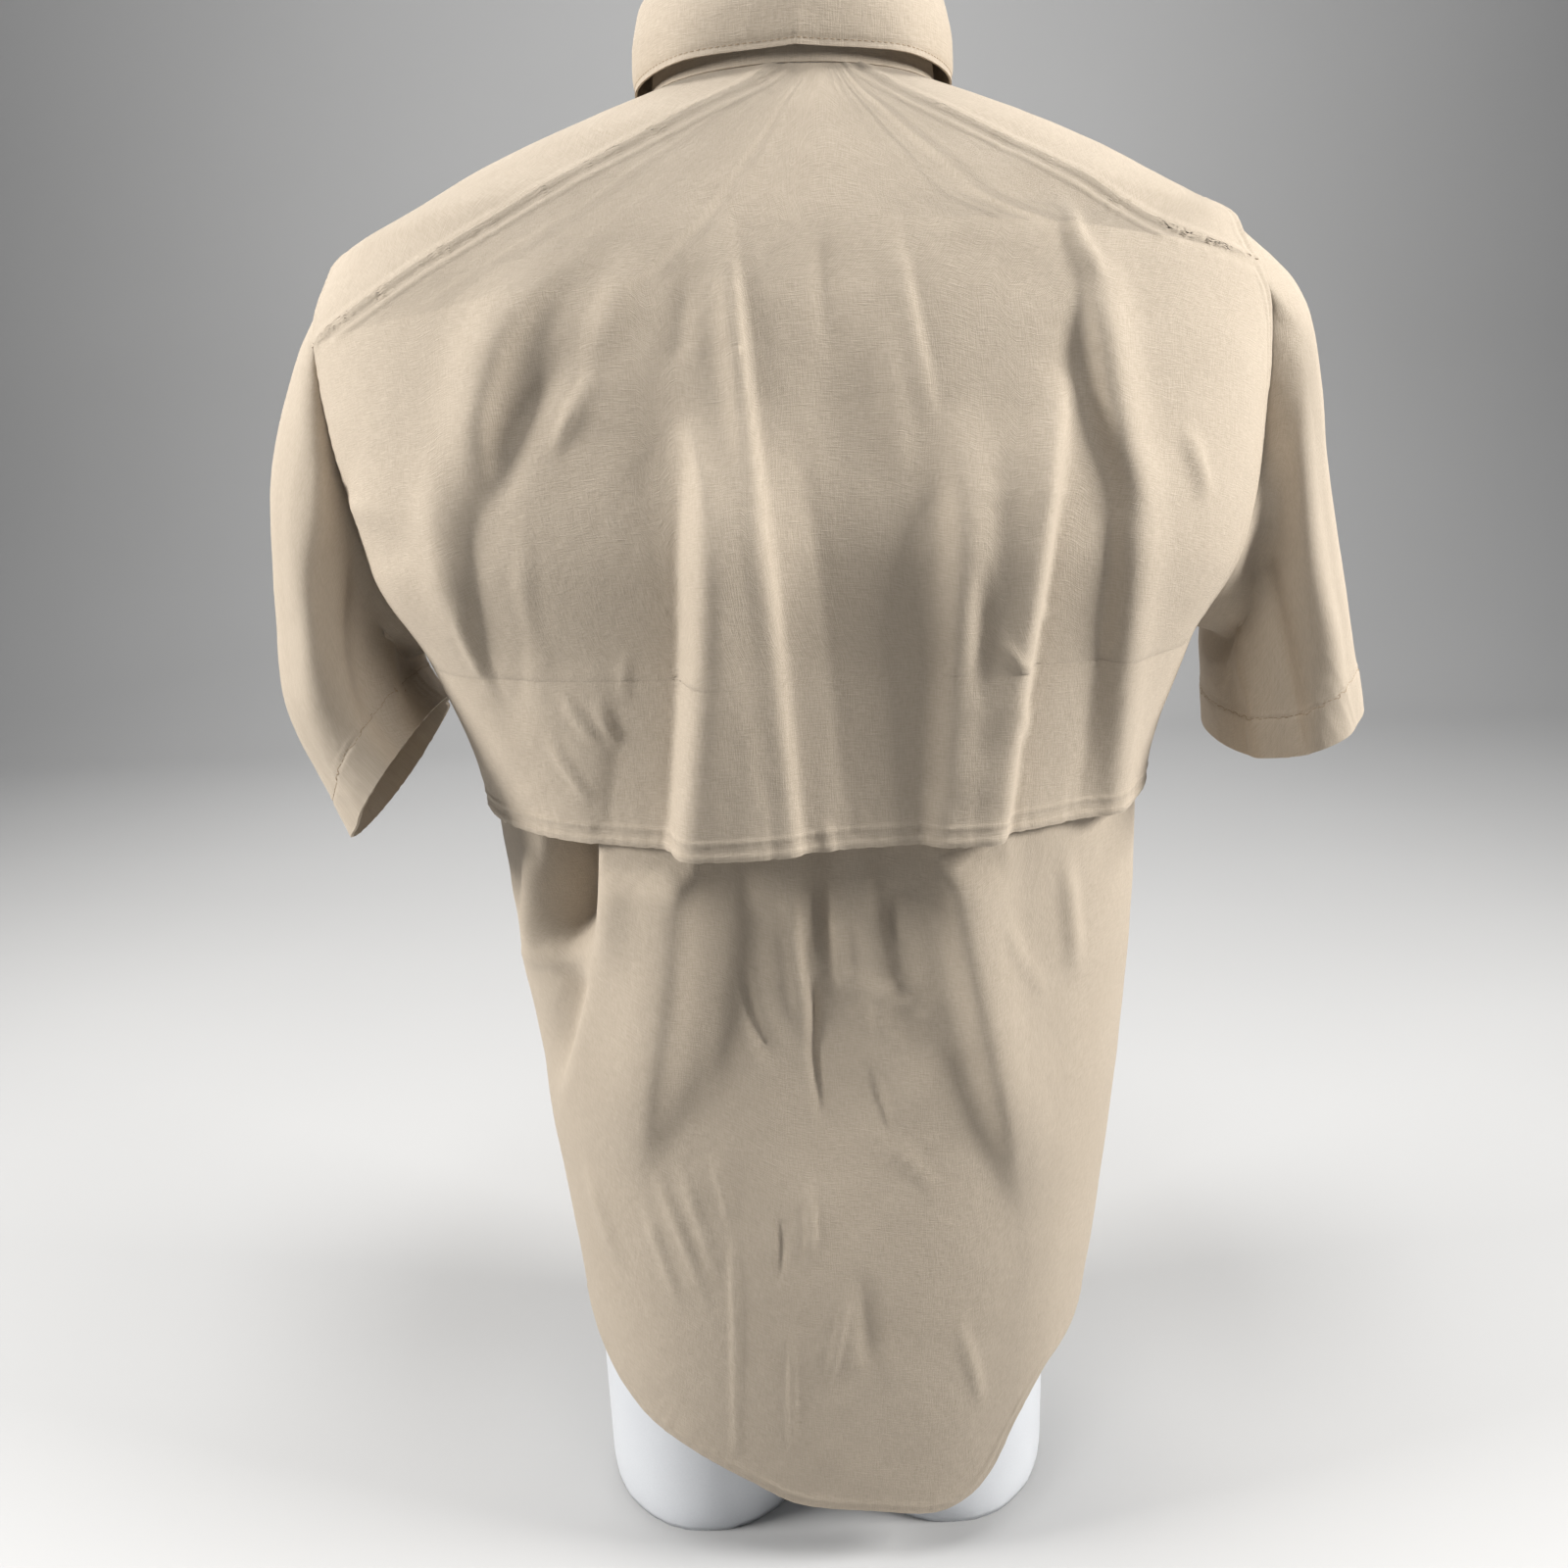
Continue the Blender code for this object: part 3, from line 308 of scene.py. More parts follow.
SLEEVE_RINGS = {
    Side.LEFT: (
        SleeveRing(0.25, 0.276, 0.732, 0.2360, 0.5560, 0.056, -0.008, 2.0),
        SleeveRing(0.50, 0.298, 0.655, 0.2320, 0.5500, 0.064, 0.000, 2.0),
        SleeveRing(0.75, 0.300, 0.562, 0.2260, 0.5420, 0.072, 0.010, 2.1),
        SleeveRing(1.00, 0.265, 0.464, 0.2170, 0.5340, 0.078, 0.018, 2.2),
    ),
    Side.RIGHT: (
        SleeveRing(0.25, 0.272, 0.742, 0.2440, 0.5520, 0.052, -0.004, 2.6),
        SleeveRing(0.50, 0.291, 0.654, 0.2380, 0.5370, 0.064, -0.002, 2.0),
        SleeveRing(0.75, 0.302, 0.588, 0.2400, 0.5180, 0.072, 0.002, 2.1),
        SleeveRing(1.00, 0.312, 0.524, 0.2430, 0.4920, 0.080, 0.006, 2.2),
    ),
}


class SleeveFold(NamedTuple):
    """A soft fold of a sleeve: its turn round the sleeve at both ends, its width in degrees, its height."""

    turn_start: float
    turn_end: float
    start: float
    end: float
    width: float
    height: float


SLEEVE_FOLDS = {
    Side.LEFT: (
        SleeveFold(112, 132, 0.10, 1.00, 9, -0.0050),
        SleeveFold(138, 150, 0.05, 0.85, 8, 0.0045),
        SleeveFold(78, 92, 0.15, 0.80, 12, 0.0030),
        SleeveFold(40, 66, 0.30, 1.00, 14, -0.0025),
        SleeveFold(240, 228, 0.10, 1.00, 10, -0.0040),
        SleeveFold(282, 268, 0.20, 0.90, 12, 0.0030),
    ),
    Side.RIGHT: (
        SleeveFold(120, 112, 0.05, 0.95, 10, -0.0050),
        SleeveFold(146, 138, 0.10, 1.00, 8, 0.0040),
        SleeveFold(88, 74, 0.10, 0.85, 12, 0.0030),
        SleeveFold(52, 60, 0.35, 1.00, 13, -0.0022),
        SleeveFold(236, 246, 0.10, 1.00, 10, -0.0040),
        SleeveFold(276, 290, 0.20, 0.90, 12, 0.0030),
    ),
}


class LeafEdge(NamedTuple):
    """A place on the collar leaf's outer edge."""

    girth: float
    x: float
    y: float
    z: float


class LeafStep(NamedTuple):
    """A step of the leaf's turn over the top of the stand."""

    out: float
    up: float


LEAF_EDGE = (
    LeafEdge(0.00, 0.000, 0.0780, 0.8560),
    LeafEdge(0.50, 0.0525, 0.0632, 0.8540),
    LeafEdge(1.00, 0.081, 0.0050, 0.8500),
    LeafEdge(1.40, 0.079, -0.0450, 0.8360),
    LeafEdge(1.70, 0.067, -0.0820, 0.8030),
    LeafEdge(1.90, 0.056, -0.0960, 0.7630),
)
LEAF_FOLD = (
    LeafStep(0.0000, 0.0006),
    LeafStep(0.0008, 0.0060),
    LeafStep(0.0040, 0.0098),
    LeafStep(0.0075, 0.0065),
)


class Fold(NamedTuple):
    """A fold or crease along a curve through three places of the cloth, seen from the back or the front.

    Head and tail are the shares of its height that are left at its two ends. Skew makes the flank towards +X
    steeper and the other one gentler, and a negative skew does the reverse.
    """

    x_top: float
    z_top: float
    x_mid: float
    z_mid: float
    x_low: float
    z_low: float
    width: float
    height: float
    head: float = 0.0
    tail: float = 0.0
    skew: float = 0.0


CAPE_FOLDS = (
    Fold(0.038, 0.711, 0.037, 0.595, 0.037, 0.471, 0.026, 0.012, 0.0, 1.0, -0.3),
    Fold(0.048, 0.693, 0.052, 0.595, 0.065, 0.471, 0.011, 0.009, 0.0, 1.0, 0.45),
    Fold(0.074, 0.724, 0.070, 0.614, 0.089, 0.480, 0.016, -0.012, 0.0, 1.0, -0.2),
    Fold(0.099, 0.695, 0.109, 0.633, 0.125, 0.522, 0.026, -0.006),
    Fold(-0.006, 0.742, -0.021, 0.620, -0.033, 0.473, 0.024, -0.009, 0.0, 1.0, 0.2),
    Fold(-0.072, 0.698, -0.068, 0.605, -0.060, 0.476, 0.012, 0.009, 0.0, 1.0, 0.3),
    Fold(-0.118, 0.709, -0.103, 0.626, -0.085, 0.479, 0.011, 0.011, 0.0, 1.0, -0.5),
    Fold(-0.131, 0.682, -0.122, 0.587, -0.111, 0.479, 0.016, -0.012, 0.0, 1.0, 0.2),
    Fold(-0.152, 0.676, -0.151, 0.605, -0.153, 0.480, 0.011, 0.007, 0.0, 1.0, 0.3),
    Fold(-0.137, 0.777, -0.141, 0.696, -0.160, 0.631, 0.0095, 0.0085, 0.0, 0.0, 0.55),
    Fold(-0.123, 0.739, -0.131, 0.691, -0.133, 0.651, 0.010, -0.004),
    Fold(0.100, 0.773, 0.149, 0.712, 0.152, 0.634, 0.013, 0.009, 0.0, 0.0, -0.5),
    Fold(0.107, 0.735, 0.138, 0.686, 0.146, 0.642, 0.010, -0.006),
    Fold(0.145, 0.673, 0.156, 0.616, 0.148, 0.513, 0.011, -0.007),
    Fold(0.181, 0.688, 0.177, 0.634, 0.171, 0.568, 0.012, 0.005),
    Fold(0.210, 0.698, 0.248, 0.646, 0.206, 0.633, 0.010, -0.005, 0.0, 0.5),
)
CAPE_CREASES = (
    Fold(0.036, 0.793, 0.030, 0.700, 0.019, 0.585, 0.005, 0.0052, 0.0, 0.0, -0.6),
    Fold(0.027, 0.658, 0.020, 0.585, 0.013, 0.471, 0.0052, 0.0042, 0.0, 1.0, -0.6),
    Fold(-0.039, 0.783, -0.049, 0.725, -0.061, 0.668, 0.005, 0.0026, 0.0, 0.0, -0.5),
    Fold(-0.008, 0.784, -0.009, 0.747, -0.011, 0.708, 0.0059, -0.0019),
    Fold(-0.097, 0.651, -0.120, 0.649, -0.143, 0.647, 0.0019, 0.0016),
    Fold(-0.070, 0.654, -0.083, 0.652, -0.094, 0.651, 0.0019, 0.0011),
    Fold(0.095, 0.645, 0.078, 0.649, 0.063, 0.657, 0.0024, 0.0022),
    Fold(0.086, 0.632, 0.073, 0.642, 0.059, 0.647, 0.0022, 0.0016),
    Fold(0.124, 0.672, 0.113, 0.689, 0.104, 0.707, 0.0026, 0.0026),
    Fold(0.108, 0.696, 0.102, 0.705, 0.099, 0.721, 0.0024, 0.0019),
    Fold(0.126, 0.563, 0.117, 0.548, 0.105, 0.534, 0.0024, 0.0022),
    Fold(0.108, 0.559, 0.103, 0.544, 0.095, 0.527, 0.0022, 0.0019),
    Fold(0.062, 0.688, 0.051, 0.671, 0.049, 0.640, 0.0034, 0.0029),
    Fold(0.136, 0.542, 0.125, 0.520, 0.111, 0.497, 0.0026, 0.0019),
    Fold(-0.105, 0.602, -0.113, 0.592, -0.124, 0.584, 0.0024, 0.0022),
    Fold(-0.094, 0.558, -0.100, 0.540, -0.108, 0.518, 0.0026, 0.0022),
    Fold(-0.082, 0.590, -0.093, 0.575, -0.098, 0.564, 0.0024, 0.0016),
    Fold(-0.017, 0.505, -0.022, 0.490, -0.029, 0.478, 0.0022, 0.0024, 0.0, 0.5),
    Fold(-0.024, 0.491, -0.030, 0.500, -0.038, 0.508, 0.002, 0.0019),
    Fold(-0.049, 0.515, -0.054, 0.501, -0.060, 0.486, 0.0022, 0.0021),
    Fold(-0.002, 0.494, -0.003, 0.483, -0.005, 0.472, 0.002, 0.0019, 0.0, 1.0),
    Fold(-0.015, 0.487, -0.016, 0.480, -0.018, 0.473, 0.0019, 0.0019, 0.0, 1.0),
    Fold(-0.077, 0.626, -0.077, 0.590, -0.074, 0.550, 0.0047, -0.0029),
    Fold(-0.037, 0.742, -0.039, 0.689, -0.044, 0.627, 0.0068, 0.0026),
    Fold(0.084, 0.606, 0.091, 0.571, 0.089, 0.536, 0.0051, 0.0026),
    Fold(0.170, 0.615, 0.170, 0.585, 0.159, 0.552, 0.0034, 0.0026),
    Fold(0.231, 0.675, 0.249, 0.654, 0.194, 0.651, 0.003, 0.0022),
    Fold(-0.178, 0.680, -0.188, 0.660, -0.193, 0.637, 0.0038, 0.0029),
    Fold(-0.126, 0.785, -0.129, 0.762, -0.143, 0.740, 0.0043, 0.0032),
    Fold(0.081, 0.769, 0.089, 0.738, 0.107, 0.712, 0.0076, 0.0029),
    Fold(0.054, 0.766, 0.059, 0.732, 0.065, 0.702, 0.0068, -0.0022),
)
BACK_FOLDS = (
    Fold(0.133, 0.505, 0.139, 0.444, 0.149, 0.388, 0.011, -0.03, 1.0, 0.1, 0.25),
    Fold(0.134, 0.396, 0.147, 0.359, 0.173, 0.277, 0.009, -0.01, 0.2, 0.0, -0.5),
    Fold(0.111, 0.508, 0.113, 0.450, 0.126, 0.390, 0.010, 0.006, 1.0, 0.0, 0.4),
    Fold(0.154, 0.501, 0.159, 0.440, 0.179, 0.348, 0.007, 0.009, 1.0, 0.0),
    Fold(0.074, 0.509, 0.086, 0.380, 0.120, 0.257, 0.020, 0.012, 1.0, 0.0, -0.55),
    Fold(-0.002, 0.509, 0.001, 0.383, 0.001, 0.198, 0.040, -0.011, 1.0, 0.0),
    Fold(0.047, 0.511, 0.052, 0.399, 0.072, 0.291, 0.012, -0.005, 1.0, 0.0),
    Fold(0.003, 0.509, 0.002, 0.456, 0.004, 0.401, 0.0075, -0.006, 1.0, 0.0),
    Fold(-0.032, 0.508, -0.037, 0.431, -0.057, 0.319, 0.013, -0.006, 1.0, 0.0, 0.4),
    Fold(-0.063, 0.505, -0.086, 0.363, -0.119, 0.229, 0.017, 0.012, 1.0, 0.0, 0.55),
)
BACK_CREASES = (
    Fold(0.183, 0.384, 0.149, 0.396, 0.126, 0.421, 0.0035, 0.003),
    Fold(0.016, 0.467, 0.014, 0.401, 0.005, 0.348, 0.0042, 0.0042, 0.0, 0.0, -0.6),
    Fold(0.004, 0.406, 0.008, 0.357, -0.000, 0.298, 0.0034, -0.004, 0.0, 0.0, 0.3),
    Fold(-0.000, 0.395, -0.033, 0.388, -0.080, 0.363, 0.0034, 0.0034),
    Fold(0.037, 0.396, 0.022, 0.401, 0.002, 0.394, 0.0029, 0.0016),
    Fold(0.046, 0.423, 0.039, 0.373, 0.024, 0.349, 0.0034, -0.0032),
    Fold(-0.027, 0.387, -0.029, 0.373, -0.035, 0.360, 0.0026, 0.0022),
    Fold(-0.040, 0.453, -0.038, 0.431, -0.040, 0.409, 0.0027, -0.0026),
    Fold(-0.006, 0.456, -0.009, 0.411, -0.011, 0.383, 0.0043, 0.0029),
    Fold(0.055, 0.261, 0.057, 0.190, 0.061, 0.092, 0.0022, 0.0019, 0.0, 0.5),
    Fold(0.023, 0.190, 0.026, 0.144, 0.028, 0.091, 0.002, 0.0016, 0.0, 0.5),
    Fold(-0.009, 0.218, -0.001, 0.171, 0.011, 0.122, 0.0022, 0.0016),
    Fold(0.102, 0.279, 0.088, 0.244, 0.071, 0.184, 0.0027, 0.0022),
    Fold(0.087, 0.287, 0.076, 0.253, 0.064, 0.208, 0.0024, 0.0019),
    Fold(0.109, 0.259, 0.099, 0.222, 0.087, 0.184, 0.0026, 0.0019),
    Fold(0.068, 0.295, 0.060, 0.271, 0.056, 0.241, 0.0024, 0.0019),
    Fold(0.033, 0.257, 0.029, 0.238, 0.034, 0.204, 0.0024, -0.0019),
    Fold(0.016, 0.279, 0.012, 0.250, 0.017, 0.218, 0.0026, 0.0019),
    Fold(-0.031, 0.305, -0.046, 0.284, -0.065, 0.263, 0.0029, 0.0019),
    Fold(-0.020, 0.353, -0.030, 0.322, -0.037, 0.291, 0.0034, -0.0022),
    Fold(-0.090, 0.436, -0.107, 0.399, -0.129, 0.369, 0.0026, 0.0019),
    Fold(-0.132, 0.461, -0.137, 0.419, -0.144, 0.369, 0.0051, 0.0029),
    Fold(-0.068, 0.184, -0.080, 0.146, -0.089, 0.107, 0.0027, 0.0019),
    Fold(0.143, 0.269, 0.136, 0.233, 0.123, 0.199, 0.0051, 0.0022),
    Fold(-0.016, 0.223, -0.019, 0.184, -0.021, 0.134, 0.0059, -0.0022),
)
FRONT_FOLDS = (
    Fold(0.108, 0.730, 0.098, 0.560, 0.104, 0.260, 0.018, -0.006),
    Fold(0.140, 0.660, 0.138, 0.480, 0.128, 0.200, 0.014, 0.005),
    Fold(0.064, 0.600, 0.060, 0.420, 0.066, 0.100, 0.014, 0.004, 0.0, 0.6),
    Fold(-0.112, 0.730, -0.104, 0.580, -0.108, 0.300, 0.018, -0.006),
    Fold(-0.146, 0.640, -0.140, 0.460, -0.132, 0.210, 0.014, 0.005),
    Fold(-0.070, 0.560, -0.066, 0.380, -0.072, 0.100, 0.014, 0.004, 0.0, 0.6),
)
FRONT_CREASES = (
    Fold(0.160, 0.690, 0.132, 0.660, 0.112, 0.610, 0.0070, 0.0026),
    Fold(0.176, 0.640, 0.150, 0.610, 0.136, 0.560, 0.0060, -0.0022),
    Fold(0.086, 0.500, 0.082, 0.420, 0.086, 0.330, 0.0050, 0.0018),
    Fold(0.120, 0.360, 0.112, 0.280, 0.114, 0.180, 0.0060, -0.0018),
    Fold(0.040, 0.300, 0.046, 0.270, 0.058, 0.240, 0.0032, 0.0012),
    Fold(-0.158, 0.700, -0.130, 0.664, -0.116, 0.600, 0.0070, 0.0026),
    Fold(-0.180, 0.630, -0.156, 0.600, -0.140, 0.556, 0.0060, -0.0022),
    Fold(-0.090, 0.480, -0.086, 0.400, -0.092, 0.300, 0.0050, 0.0018),
    Fold(-0.118, 0.340, -0.110, 0.260, -0.116, 0.160, 0.0060, -0.0018),
    Fold(-0.046, 0.420, -0.056, 0.392, -0.066, 0.360, 0.0032, 0.0012),
)


def rows_column(rows: Sequence[NamedTuple], name: str) -> Array:
    """Return one named column of a table's rows."""
    return np.array([getattr(row, name) for row in rows], float)


def ease(low: float, high: float, at: Array | float) -> Array:
    """Rise smoothly from 0 at low to 1 at high."""
    part = np.clip((np.asarray(at, float) - low) / (high - low), 0.0, 1.0)
    return part * part * (3.0 - 2.0 * part)


def unit(vectors: Array) -> Array:
    """Return vectors made one long."""
    return vectors / np.maximum(np.linalg.norm(vectors, axis=-1, keepdims=True), 1e-9)


def smooth_lookup(at: Array, knots: Array, values: Array) -> Array:
    """Read a smooth curve through knots that never overshoots between two of them.

    Args:
        at: Where the curve is read.
        knots: Rising places of the knots.
        values: The curve's values at the knots.

    Returns:
        The curve's values at the places asked for.
    """
    steps = np.diff(knots)
    rises = np.diff(values) / steps
    same_way = rises[:-1] * rises[1:] > 0.0
    before = np.where(same_way, rises[:-1], 1.0)
    after = np.where(same_way, rises[1:], 1.0)
    inside = np.where(same_way, 2.0 * before * after / (before + after), 0.0)
    slopes = np.concatenate([rises[:1], inside, rises[-1:]])
    at = np.clip(at, knots[0], knots[-1])
    cell = np.clip(np.searchsorted(knots, at, side="right") - 1, 0, len(knots) - 2)
    part = (at - knots[cell]) / steps[cell]
    rest = 1.0 - part
    return (
        (1.0 + 2.0 * part) * rest**2 * values[cell]
        + part * rest**2 * steps[cell] * slopes[cell]
        + part**2 * (3.0 - 2.0 * part) * values[cell + 1]
        - part**2 * rest * steps[cell] * slopes[cell + 1]
    )


def table_curve(rows: Sequence[NamedTuple], key: str, name: str, at: Array) -> Array:
    """Read column name of a table where its column key has the value at."""
    return smooth_lookup(at, rows_column(rows, key), rows_column(rows, name))


def travel(points: Array) -> Array:
    """Return how far along a line each of its points lies."""
    return np.concatenate([[0.0], np.cumsum(np.linalg.norm(np.diff(points, axis=0), axis=-1))])


def read_line(at: Array, known: Array, places: Array) -> Array:
    """Return the places of a line where its measure known has the values at."""
    return np.stack([np.interp(at, known, column) for column in places.T], axis=-1)


def refined(places: Array, count: int) -> Array:
    """Return count + 1 places spread along a row of places, kept on its straight pieces."""
    return read_line(np.linspace(0.0, len(places) - 1.0, count + 1), np.arange(len(places)), places)


def paired(girths: Array | float, levels: Array | float) -> Array:
    """Return places of girth and level as one array."""
    return np.stack(np.broadcast_arrays(girths, levels), axis=-1)


def ripple(at: Array, length: float, seed: float) -> Array:
    """Return an uneven wave from -1 to 1 along a line.

    Args:
        at: Distances along the line.
        length: About how long one wave is.
        seed: Which of many such waves to take.

    Returns:
        The wave's height at each distance.
    """
    turn = 2.0 * math.pi * at / length
    drift = np.sin(0.23 * turn + 1.7 * seed) + 0.6 * np.sin(0.071 * turn + 2.9 * seed)
    main = np.sin(turn + 1.4 * drift + seed)
    second = np.sin(1.73 * turn + 2.1 * seed + drift)
    return (0.62 * main + 0.38 * second) * (0.65 + 0.35 * np.sin(0.31 * turn + 5.0 * seed))


class RingBody:
    """A smooth body through stacked rings, read at a girth and a level."""

    ARC_STEPS = 33

    def __init__(self, rings: Sequence[Ring]) -> None:
        """Keep the rings that the body runs through."""
        self.rings = rings

    def sizes(self, level: Array) -> dict[str, Array]:
        """Return every ring size at a level, by name."""
        return {name: table_curve(self.rings, "level", name, level) for name in Ring._fields[1:]}

    def quarter(self, share: Array, half_width: Array, depth: Array, squareness: Array) -> tuple[Array, ...]:
        """Walk an even share of the arc from a section's centre line to its side.

        Args:
            share: The share of the arc, 0 at the centre line and 1 at the side.
            half_width: Half the section's width.
            depth: The section's depth at its centre line.
            squareness: The section's power, 2 for an ellipse.

        Returns:
            The place's x and y, and the length of the whole arc.
        """
        turn = np.linspace(0.0, math.pi / 2.0, self.ARC_STEPS)
        power = 2.0 / squareness[..., None]
        xs = half_width[..., None] * np.sin(turn) ** power
        ys = depth[..., None] * np.clip(np.cos(turn), 0.0, 1.0) ** power
        lengths = np.hypot(np.diff(xs), np.diff(ys))
        start = np.zeros_like(lengths[..., :1])
        travelled = np.concatenate([start, np.cumsum(lengths, axis=-1)], axis=-1)
        wanted = share[..., None] * travelled[..., -1:]
        cell = np.clip(np.sum(travelled <= wanted, axis=-1) - 1, 0, self.ARC_STEPS - 2)[..., None]
        gone = wanted - np.take_along_axis(travelled, cell, -1)
        part = (gone / np.take_along_axis(lengths, cell, -1))[..., 0]
        low = [np.take_along_axis(values, cell, -1)[..., 0] for values in (xs, ys)]
        high = [np.take_along_axis(values, cell + 1, -1)[..., 0] for values in (xs, ys)]
        x, y = (a + (b - a) * part for a, b in zip(low, high))
        return x, y, travelled[..., -1]

    def point(self, girth: Array, level: Array) -> Array:
        """Return the body's points at girths and levels."""
        girth, level = np.broadcast_arrays(np.asarray(girth, float), np.asarray(level, float))
        girth = (girth + 2.0) % 4.0 - 2.0
        behind = np.abs(girth) <= 1.0
        size = self.sizes(level)
        depth = np.where(behind, size["y_back"], size["y_front"])
        share = np.where(behind, np.abs(girth), 2.0 - np.abs(girth))
        x, y, _ = self.quarter(share, size["half_width"], depth, size["squareness"])
        z_centre = np.where(behind, size["z_back"], size["z_front"])
        z = z_centre + (size["z_side"] - z_centre) * (x / size["half_width"]) ** 2
        return np.stack([size["x_mid"] + np.where(girth < 0.0, -x, x), y, z], axis=-1)

    def normal(self, girth: Array, level: Array) -> Array:
        """Return the body's outward unit normals at girths and levels."""
        girth_step, level_step = 0.002, 0.0005
        girth, level = np.broadcast_arrays(np.asarray(girth, float), np.asarray(level, float))
        along = self.point(girth + girth_step, level) - self.point(girth - girth_step, level)
        high = self.point(girth, np.minimum(level + level_step, NECK_LEVEL))
        low = self.point(girth, np.maximum(level - level_step, LOWEST_LEVEL))
        return unit(np.cross(high - low, along))


@dataclass(frozen=True)
class FoldField:
    """The folds and creases that one piece of cloth carries."""

    folds: tuple[Fold, ...]

    CURVE_STEPS = 13
    HEAD_END = 0.4
    TAIL_START = 0.6
    SKEW_SOFTNESS = 0.2

    def height(self, x: Array, z: Array) -> Array:
        """Add up the folds at places of the cloth, outward positive."""
        total = np.zeros_like(x)
        for fold in self.folds:
            xs = self.curve(fold.x_top, fold.x_mid, fold.x_low)
            zs = self.curve(fold.z_top, fold.z_mid, fold.z_low)
            bell, place = self.nearness(x, z, xs, zs, fold)
            head = fold.head + (1.0 - fold.head) * ease(0.0, self.HEAD_END, place)
            tail = fold.tail + (1.0 - fold.tail) * ease(1.0, self.TAIL_START, place)
            total += fold.height * bell * head * tail
        return total

    def curve(self, top: float, middle: float, low: float) -> Array:
        """Return one axis of the curve through three places, in steps from its top to its low end."""
        along = np.linspace(0.0, 1.0, self.CURVE_STEPS)
        pull = 2.0 * middle - (top + low) / 2.0
        return (1 - along) ** 2 * top + 2 * along * (1 - along) * pull + along**2 * low

    def nearness(self, x: Array, z: Array, xs: Array, zs: Array, fold: Fold) -> tuple[Array, Array]:
        """Return 1 on a line, falling off like a bell, and the nearest place along it.

        Args:
            x: Places across the cloth.
            z: Heights of the places.
            xs: The line's x values.
            zs: The line's z values.
            fold: The fold, which gives the bell's width on each flank.

        Returns:
            The bell's height and the share of the line where it is nearest.
        """
        gap = np.full_like(x, np.inf)
        place = np.zeros_like(x)
        flank = np.zeros_like(x)
        for index in range(len(xs) - 1):
            dx, dz = xs[index + 1] - xs[index], zs[index + 1] - zs[index]
            part = np.clip(((x - xs[index]) * dx + (z - zs[index]) * dz) / (dx * dx + dz * dz), 0.0, 1.0)
            distance = np.hypot(x - xs[index] - part * dx, z - zs[index] - part * dz)
            nearer = distance < gap
            flank = np.where(nearer, x - xs[index] - part * dx, flank)
            gap = np.where(nearer, distance, gap)
            place = np.where(nearer, (index + part) / (len(xs) - 1), place)
        across = flank / (np.abs(flank) + self.SKEW_SOFTNESS * fold.width)
        return np.exp(-((gap / (fold.width * (1.0 - fold.skew * across))) ** 2)), place


